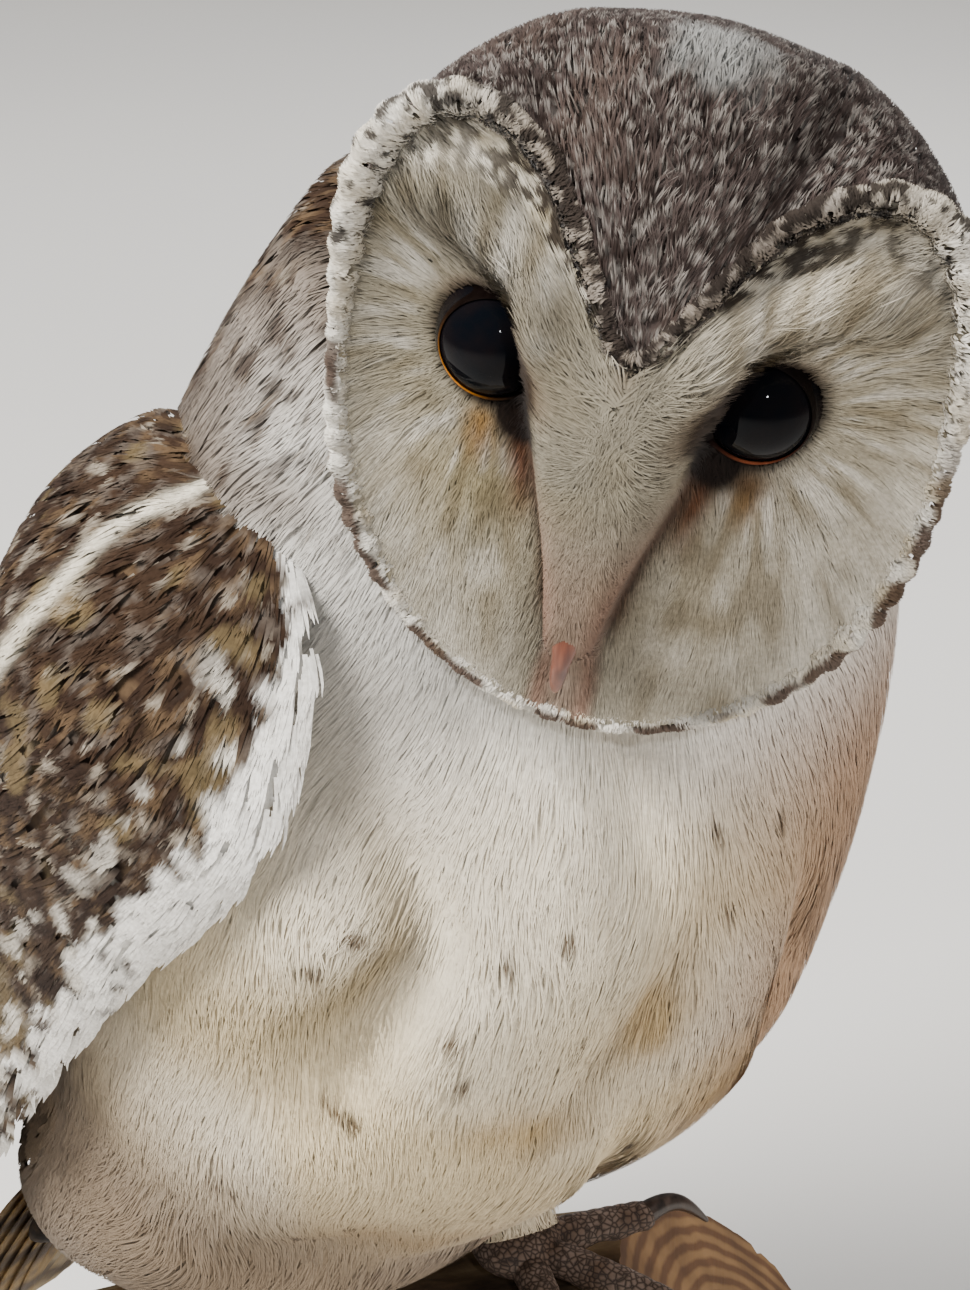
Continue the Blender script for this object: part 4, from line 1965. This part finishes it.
PAD_SIDES = 32
PAD_RINGS = 20
PAD_FLAT = 0.62
FOOT_GAP = 0.35
TOE_STEPS = 7
for sign, side in SIDES:
    pad = outward(new_piece(f"foot_pad_{side}", *foot_pad(sign), FOOT_FINISH))
    belongs(pad, "foot_skin", f"foot_{side}")
    for name, *place in TOES:
        skin_of_toe = new_piece(f"toe_skin_{side}_{name}", *toe(sign, *place), FOOT_FINISH)
        belongs(outward(skin_of_toe), "foot_skin", f"toe_{side}_{name}")
        horn = new_piece(f"claw_horn_{side}_{name}", *claw(sign, *place), CLAW_FINISH)
        belongs(outward(horn), "claw_horn", f"claw_{side}_{name}")
print("feet made")

# %% [markdown]
# ## Eyes and bill
#
# A mounted owl has glass eyes, near black, that fill their sockets. A thin orange-brown lid runs
# round each one. Of the bill only the pinkish, hooked tip shows under the ridge's bristles.

# %% Glass eyes and their lids
def glass_finish():
    """Very dark glass, almost black with a breath of blue and brown."""
    f = Finish("dark glass eye", Roughness=0.04, Specular_IOR_Level=0.07)
    cloud = f.noise(f.object_coords, 260, 2.0)
    return f.colour(f.ramp(cloud, [(0.3, "#05070b"), (0.8, "#0e0a0b")]))


def lid_finish():
    """Thin bare skin in painted tones, finely wrinkled."""
    f = Finish("bare eyelid skin", Roughness=0.7, Specular_IOR_Level=0.06)
    wrinkles = f.noise(f.object_coords, 900, 3.0)
    shade = f.ramp(wrinkles, [(0.3, "#9a9490"), (0.7, "#ffffff")])
    f.bumped(wrinkles, 0.3, 0.0002)
    return f.colour(f.mix(f.markings(), shade, 0.6, "MULTIPLY"))


GLASS_FINISH = glass_finish()
LID_FINISH = lid_finish()


def eye_ball(sign):
    """A sphere with a slightly bulging front, in the face's frame: the radius grows by a bell
    about the line of sight."""
    aa, rr = np.meshgrid(turns(EYE_SIDES, 0), np.linspace(0, np.pi, EYE_RINGS))
    r = (EYE_RADIUS - 0.15) * (1 + 0.02 * bump(rr, 0.8))
    x = EYE_SHIFT + sign * EYE_SPREAD + r * np.sin(rr) * np.cos(aa)
    z = r * np.sin(rr) * np.sin(aa)
    return meshed(face_to_world(x, EYE_DEPTH + r * np.cos(rr), z))


def eye_lid(sign):
    """A narrow ring of bare skin from the glass, at the eye's opening, to under the bristles.
    Only its edge is orange, and that fades at the inner corner."""
    aa, ss = np.meshgrid(turns(LID_STEPS, 0), turns(LID_SIDES, 0), indexing="ij")
    corner = bump(2 * np.sin((aa - LID_CORNER) / 2), 0.8)
    lowest, orange = LID_EDGES[sign]
    lower = 2 * np.sin((aa - lowest) / 2)
    opening = EYE_OPENING + 0.3 * corner - 0.8 * bump(lower, 0.9)
    share = 0.5 + 0.5 * np.cos(ss)
    rim = EYE_OPENING + LID_WIDTH

    def on_ring(r):
        """x and z on the face at a distance from the eye's middle."""
        return EYE_SHIFT + sign * (EYE_SPREAD + r * np.cos(aa)), r * np.sin(aa)

    on_glass = EYE_DEPTH + np.sqrt(EYE_RADIUS**2 - opening**2) + 0.1
    under_fur = np.minimum(face_depth(*on_ring(rim)) - 1.0, on_glass + 0.5)
    depth = blend(on_glass, under_fur, smooth(share, 0, 1)) + 0.3 * np.sin(ss)
    x, z = on_ring(blend(opening, rim, share))
    points = face_to_world(x, depth, z)
    edge = (1 - smooth(share, 0.3, 0.6)) * (1 - corner)
    colours = tint(all_over("#0c0706", points), (orange, edge * bump(lower, 0.62)))
    return *meshed(points, ring=True), colours.reshape(-1, 3)


EYE_SIDES = 64
EYE_RINGS = 40
LID_STEPS = 96
LID_SIDES = 24
LID_CORNER = np.radians(205)
# where each lid shows most, as an angle in radians round the eye, and the colour of its edge
LID_EDGES = {-1: (-0.95, "#b06f22"), 1: (-1.5, "#7a3f26")}
for sign, side in SIDES:
    eye = outward(new_piece(f"glass_eye_{side}", *eye_ball(sign), GLASS_FINISH))
    belongs(eye, "eye_glass", f"eye_{side}")
    points, quads, colours = eye_lid(sign)
    lid = outward(new_piece(f"eyelid_{side}", points, quads, LID_FINISH, colours))
    belongs(lid, "disc_feathers")
print("eyes and lids made")

# %% Bill
BILL_FINISH = horn_finish("flesh coloured bill horn", "#44231a", "#714432", 0.3, 0.7)
BILL_RADIUS = 2.7
# middle line of the upper half: how far forward, height
BILL_PATH = [(7, -20), (11.5, -26.5), (13.2, -32.5), (12.2, -37.5)]
BILL_SPLIT = 4.4
BILL_OVERHANG = 4
# name, whether it is the lower half, size
BILL_HALVES = [("bill_upper", False, 1.0), ("bill_lower", True, 0.72)]


def bill_path(lower):
    """The bill's middle line in the face's frame: down and forward, then hooked back. The lower
    half lies behind the upper one and ends above its tip."""
    forward, z = np.array(BILL_PATH, float).T
    short = BILL_OVERHANG * np.array([0, 0, 0.5, 1])
    return face_to_world(np.zeros(4), forward - lower * BILL_SPLIT, z + lower * short)


for name, lower, size in BILL_HALVES:

    def bill_radius(s, size=size):
        """Radius at a share of the way: full at the root, then down to the hook."""
        return size * BILL_RADIUS * blend(1.0, 0.24, s**1.6) * closing(np.minimum(s, 1 - s) * 18, 1.4)

    points, quads = tube(bill_path(lower), bill_radius, rows=50, sides=28, flat=0.85)
    bill = outward(new_piece(f"{name}_horn", points, quads, BILL_FINISH))
    belongs(bill, "bill_horn", name)
print("bill made")

# %% [markdown]
# ## The bark log
#
# Bark is relief on the log's surface: long plates with cracks between them. The slanting saw cut
# and the worn flat are cut afterwards, so that they are truly flat.

# %% Bark relief and saw cuts
def bark_finish():
    """Olive-brown bark: dark in the cracks, greyer and mossy on the plates."""
    f = Finish("rough bark", Roughness=0.9, Specular_IOR_Level=0.2)
    level = f.mapped(f.object_coords, turn=(0, 0, -LOG_TURN))
    plates = f.noise(f.mapped(level, (28, 90, 90)), 1.0, 5.0, 0.6)
    tone = f.ramp(plates, [(0.3, "#2a2018"), (0.5, "#55432f"), (0.7, "#7b6a4d")])
    lichen = f.ramp(f.noise(f.object_coords, 45, 4.0), [(0.58, "#000000"), (0.7, "#ffffff")])
    f.bumped(f.noise(f.object_coords, 420, 4.0), 0.5, 0.0006)
    return f.colour(f.mix(tone, (*paint("#8b8a6a"), 1), f.mix((0, 0, 0, 1), lichen, 0.35)))


def sawn_finish():
    """Sawn wood: rings about the log's axis, and fine saw marks across them."""
    f = Finish("sawn wood", Roughness=0.75)
    level = f.mapped(f.object_coords, turn=(0, 0, -LOG_TURN), move=(0, 0, -LOG_AXIS * MM))
    rings = f.add(
        "ShaderNodeTexWave", Vector=level, Scale=95.0, Distortion=2.2, Detail=3.0, Detail_Scale=1.2
    )
    rings.wave_type = "RINGS"
    rings.rings_direction = "X"
    tone = f.ramp(rings.outputs["Fac"], [(0.2, "#6b4a2e"), (0.8, "#93714a")])
    stain = f.ramp(f.noise(f.object_coords, 60, 3.0), [(0.35, "#7d6a55"), (0.7, "#ffffff")])
    f.bumped(f.noise(f.mapped(f.object_coords, (60, 60, 1400)), 1.0), 0.3, 0.0003)
    return f.colour(f.mix(tone, stain, 0.7, "MULTIPLY"))


LOG_ROWS = 150
LOG_SIDES = 180
PLATE_LONG = 3.2  # how much longer than wide a plate of bark is
PLATE_SIZE = 7
CRACK_DEPTH = 1.9
ROUGH_DEPTH = 0.9
EDGE_WORN = 3.5
dd, tt = np.meshgrid(
    crowded(-LOG_REACH_RIGHT, LOG_REACH_LEFT, LOG_ROWS), turns(LOG_SIDES, 0), indexing="ij"
)
bark_at = np.stack([dd / PLATE_LONG, LOG_RADIUS * np.cos(tt), LOG_RADIUS * np.sin(tt)], -1)
plates = smooth(np.abs(noise(bark_at, PLATE_SIZE, 191) - 0.5), 0.0, 0.09)
relief = -CRACK_DEPTH * (1 - plates) - ROUGH_DEPTH * noise(bark_at, 2.4, 192)
from_end = np.minimum(dd + LOG_REACH_RIGHT, LOG_REACH_LEFT - dd)
worn = np.where(from_end < EDGE_WORN, EDGE_WORN * (1 - from_end / EDGE_WORN) ** 2, 0)
radius = log_radius(dd, tt) + relief - worn
radius[0] = radius[-1] = 0
log_local = np.stack([dd, -radius * np.sin(tt), radius * np.cos(tt)], -1)
log = outward(new_piece("bark_log", *meshed(log_to_world(log_local)), bark_finish()))
log.data.materials.append(sawn_finish())


def saw(piece, at, faces, slot):
    """Cuts a piece by a plane, takes away what lies before it and closes the cut with flat
    faces of the finish in a slot."""
    work = bmesh.new()
    work.from_mesh(piece.data)
    parts = work.verts[:] + work.edges[:] + work.faces[:]
    plane_at = Vector(np.asarray(at) * MM)
    ahead = Vector(faces)
    cut = bmesh.ops.bisect_plane(work, geom=parts, plane_co=plane_at, plane_no=ahead, clear_outer=True)
    edges = [e for e in cut["geom_cut"] if isinstance(e, bmesh.types.BMEdge)]
    filled = bmesh.ops.triangle_fill(work, edges=edges, use_beauty=True, normal=ahead)
    for new in filled["geom"]:
        if isinstance(new, bmesh.types.BMFace):
            new.material_index = slot
            new.smooth = False
    work.to_mesh(piece.data)
    work.free()


BARK_SLOT = 0
SAWN_SLOT = 1
saw(log, (0, 0, 0), (0, 0, -1), BARK_SLOT)
saw(log, log_to_world(LOG_CUT_AT), LOG_CUT_FACES @ LOG_TURNED.T, SAWN_SLOT)
facing = np.zeros(len(log.data.polygons) * 3)
slots = np.zeros(len(log.data.polygons), np.int32)
log.data.polygons.foreach_get("normal", facing)
log.data.polygons.foreach_get("material_index", slots)
straight_end = np.abs(facing.reshape(-1, 3) @ [np.cos(LOG_TURN), np.sin(LOG_TURN), 0]) > 0.97
log.data.polygons.foreach_set("material_index", np.where(straight_end, SAWN_SLOT, slots))
belongs(log, "log_wood", "perch_log")
print("log made:", len(log.data.polygons), "faces")

# %% [markdown]
# ## Room, light and camera
#
# The owl stands on a pale floor in soft studio light: a large key light from the upper left, a
# fill from the right, a weak light from behind that draws its outline, and a small lamp that
# alone shows in the glass eyes. The camera looks down at the owl's face from its right front.

# %% Floor, lights and camera
def floor_finish():
    """Plain pale paper with the faintest cloud."""
    f = Finish("pale studio floor", Roughness=0.9)
    return f.colour(f.ramp(f.noise(f.object_coords, 3, 2.0), [(0.3, "#d9d6d1"), (0.7, "#dedbd6")]))


FLOOR_REACH = 3000
FLOOR_STEPS = 13
floor_steps = np.linspace(-FLOOR_REACH, FLOOR_REACH, FLOOR_STEPS)
fx, fy = np.meshgrid(floor_steps, floor_steps)
floor_points = np.stack([fx, fy, np.zeros_like(fx)], -1)
floor = new_piece("studio_floor", *meshed(floor_points, wrap=False), floor_finish())

CAMERA_AT = np.array([-301.8, -330.8, 439.6])
CAMERA_AZIMUTH = np.radians(-45)
CAMERA_ELEVATION = np.radians(27)
FOCAL_PIXELS = 3200
PICTURE_WIDTH = 970
back_x = np.sin(CAMERA_AZIMUTH) * np.cos(CAMERA_ELEVATION)
back_y = -np.cos(CAMERA_AZIMUTH) * np.cos(CAMERA_ELEVATION)
camera_back = np.array([back_x, back_y, np.sin(CAMERA_ELEVATION)])
camera_right = np.array([np.cos(CAMERA_AZIMUTH), np.sin(CAMERA_AZIMUTH), 0])
lens = bpy.data.cameras.new("camera")
lens.sensor_fit = "HORIZONTAL"
lens.sensor_width = 36
lens.lens = FOCAL_PIXELS / PICTURE_WIDTH * lens.sensor_width
camera = added("camera", lens)
camera.location = CAMERA_AT * MM
camera.rotation_euler = Vector(-camera_back).to_track_quat("-Z", "Y").to_euler()
bpy.context.scene.camera = camera

LIGHT_TARGET = np.array([-15.0, -50.0, 240.0])


def studio_light(name, right, forward, up, size, power, colour, mirrored=False):
    """An area light aimed at the owl, placed by distances to the camera's right, towards the
    camera and up, in millimetres. Only a mirrored one shows as a highlight in the glass."""
    lamp = bpy.data.lights.new(name, "AREA")
    lamp.shape = "DISK"
    lamp.size = size * MM
    lamp.energy = power
    lamp.color = colour
    holder = added(name, lamp)
    holder.visible_glossy = mirrored
    level_back = np.array([camera_back[0], camera_back[1], 0]) / np.cos(CAMERA_ELEVATION)
    place = LIGHT_TARGET + camera_right * right + level_back * forward + np.array([0, 0, up])
    holder.location = place * MM
    holder.rotation_euler = Vector(place - LIGHT_TARGET).to_track_quat("Z", "Y").to_euler()


studio_light("key_light", -680, 380, 820, 640, 42, (1.0, 0.98, 0.95))
studio_light("catch_light", 130, 760, 500, 44, 2.6, (0.95, 0.97, 1.0), mirrored=True)
studio_light("fill_light", 900, 500, 350, 700, 5.5, (1.0, 0.93, 0.86))
studio_light("back_light", 200, -900, 700, 700, 10, (0.95, 0.97, 1.0))
world = bpy.data.worlds.new("studio")
world.use_nodes = True
world.node_tree.nodes["Background"].inputs["Color"].default_value = (0.86, 0.87, 0.9, 1)
world.node_tree.nodes["Background"].inputs["Strength"].default_value = 0.2
bpy.context.scene.world = world
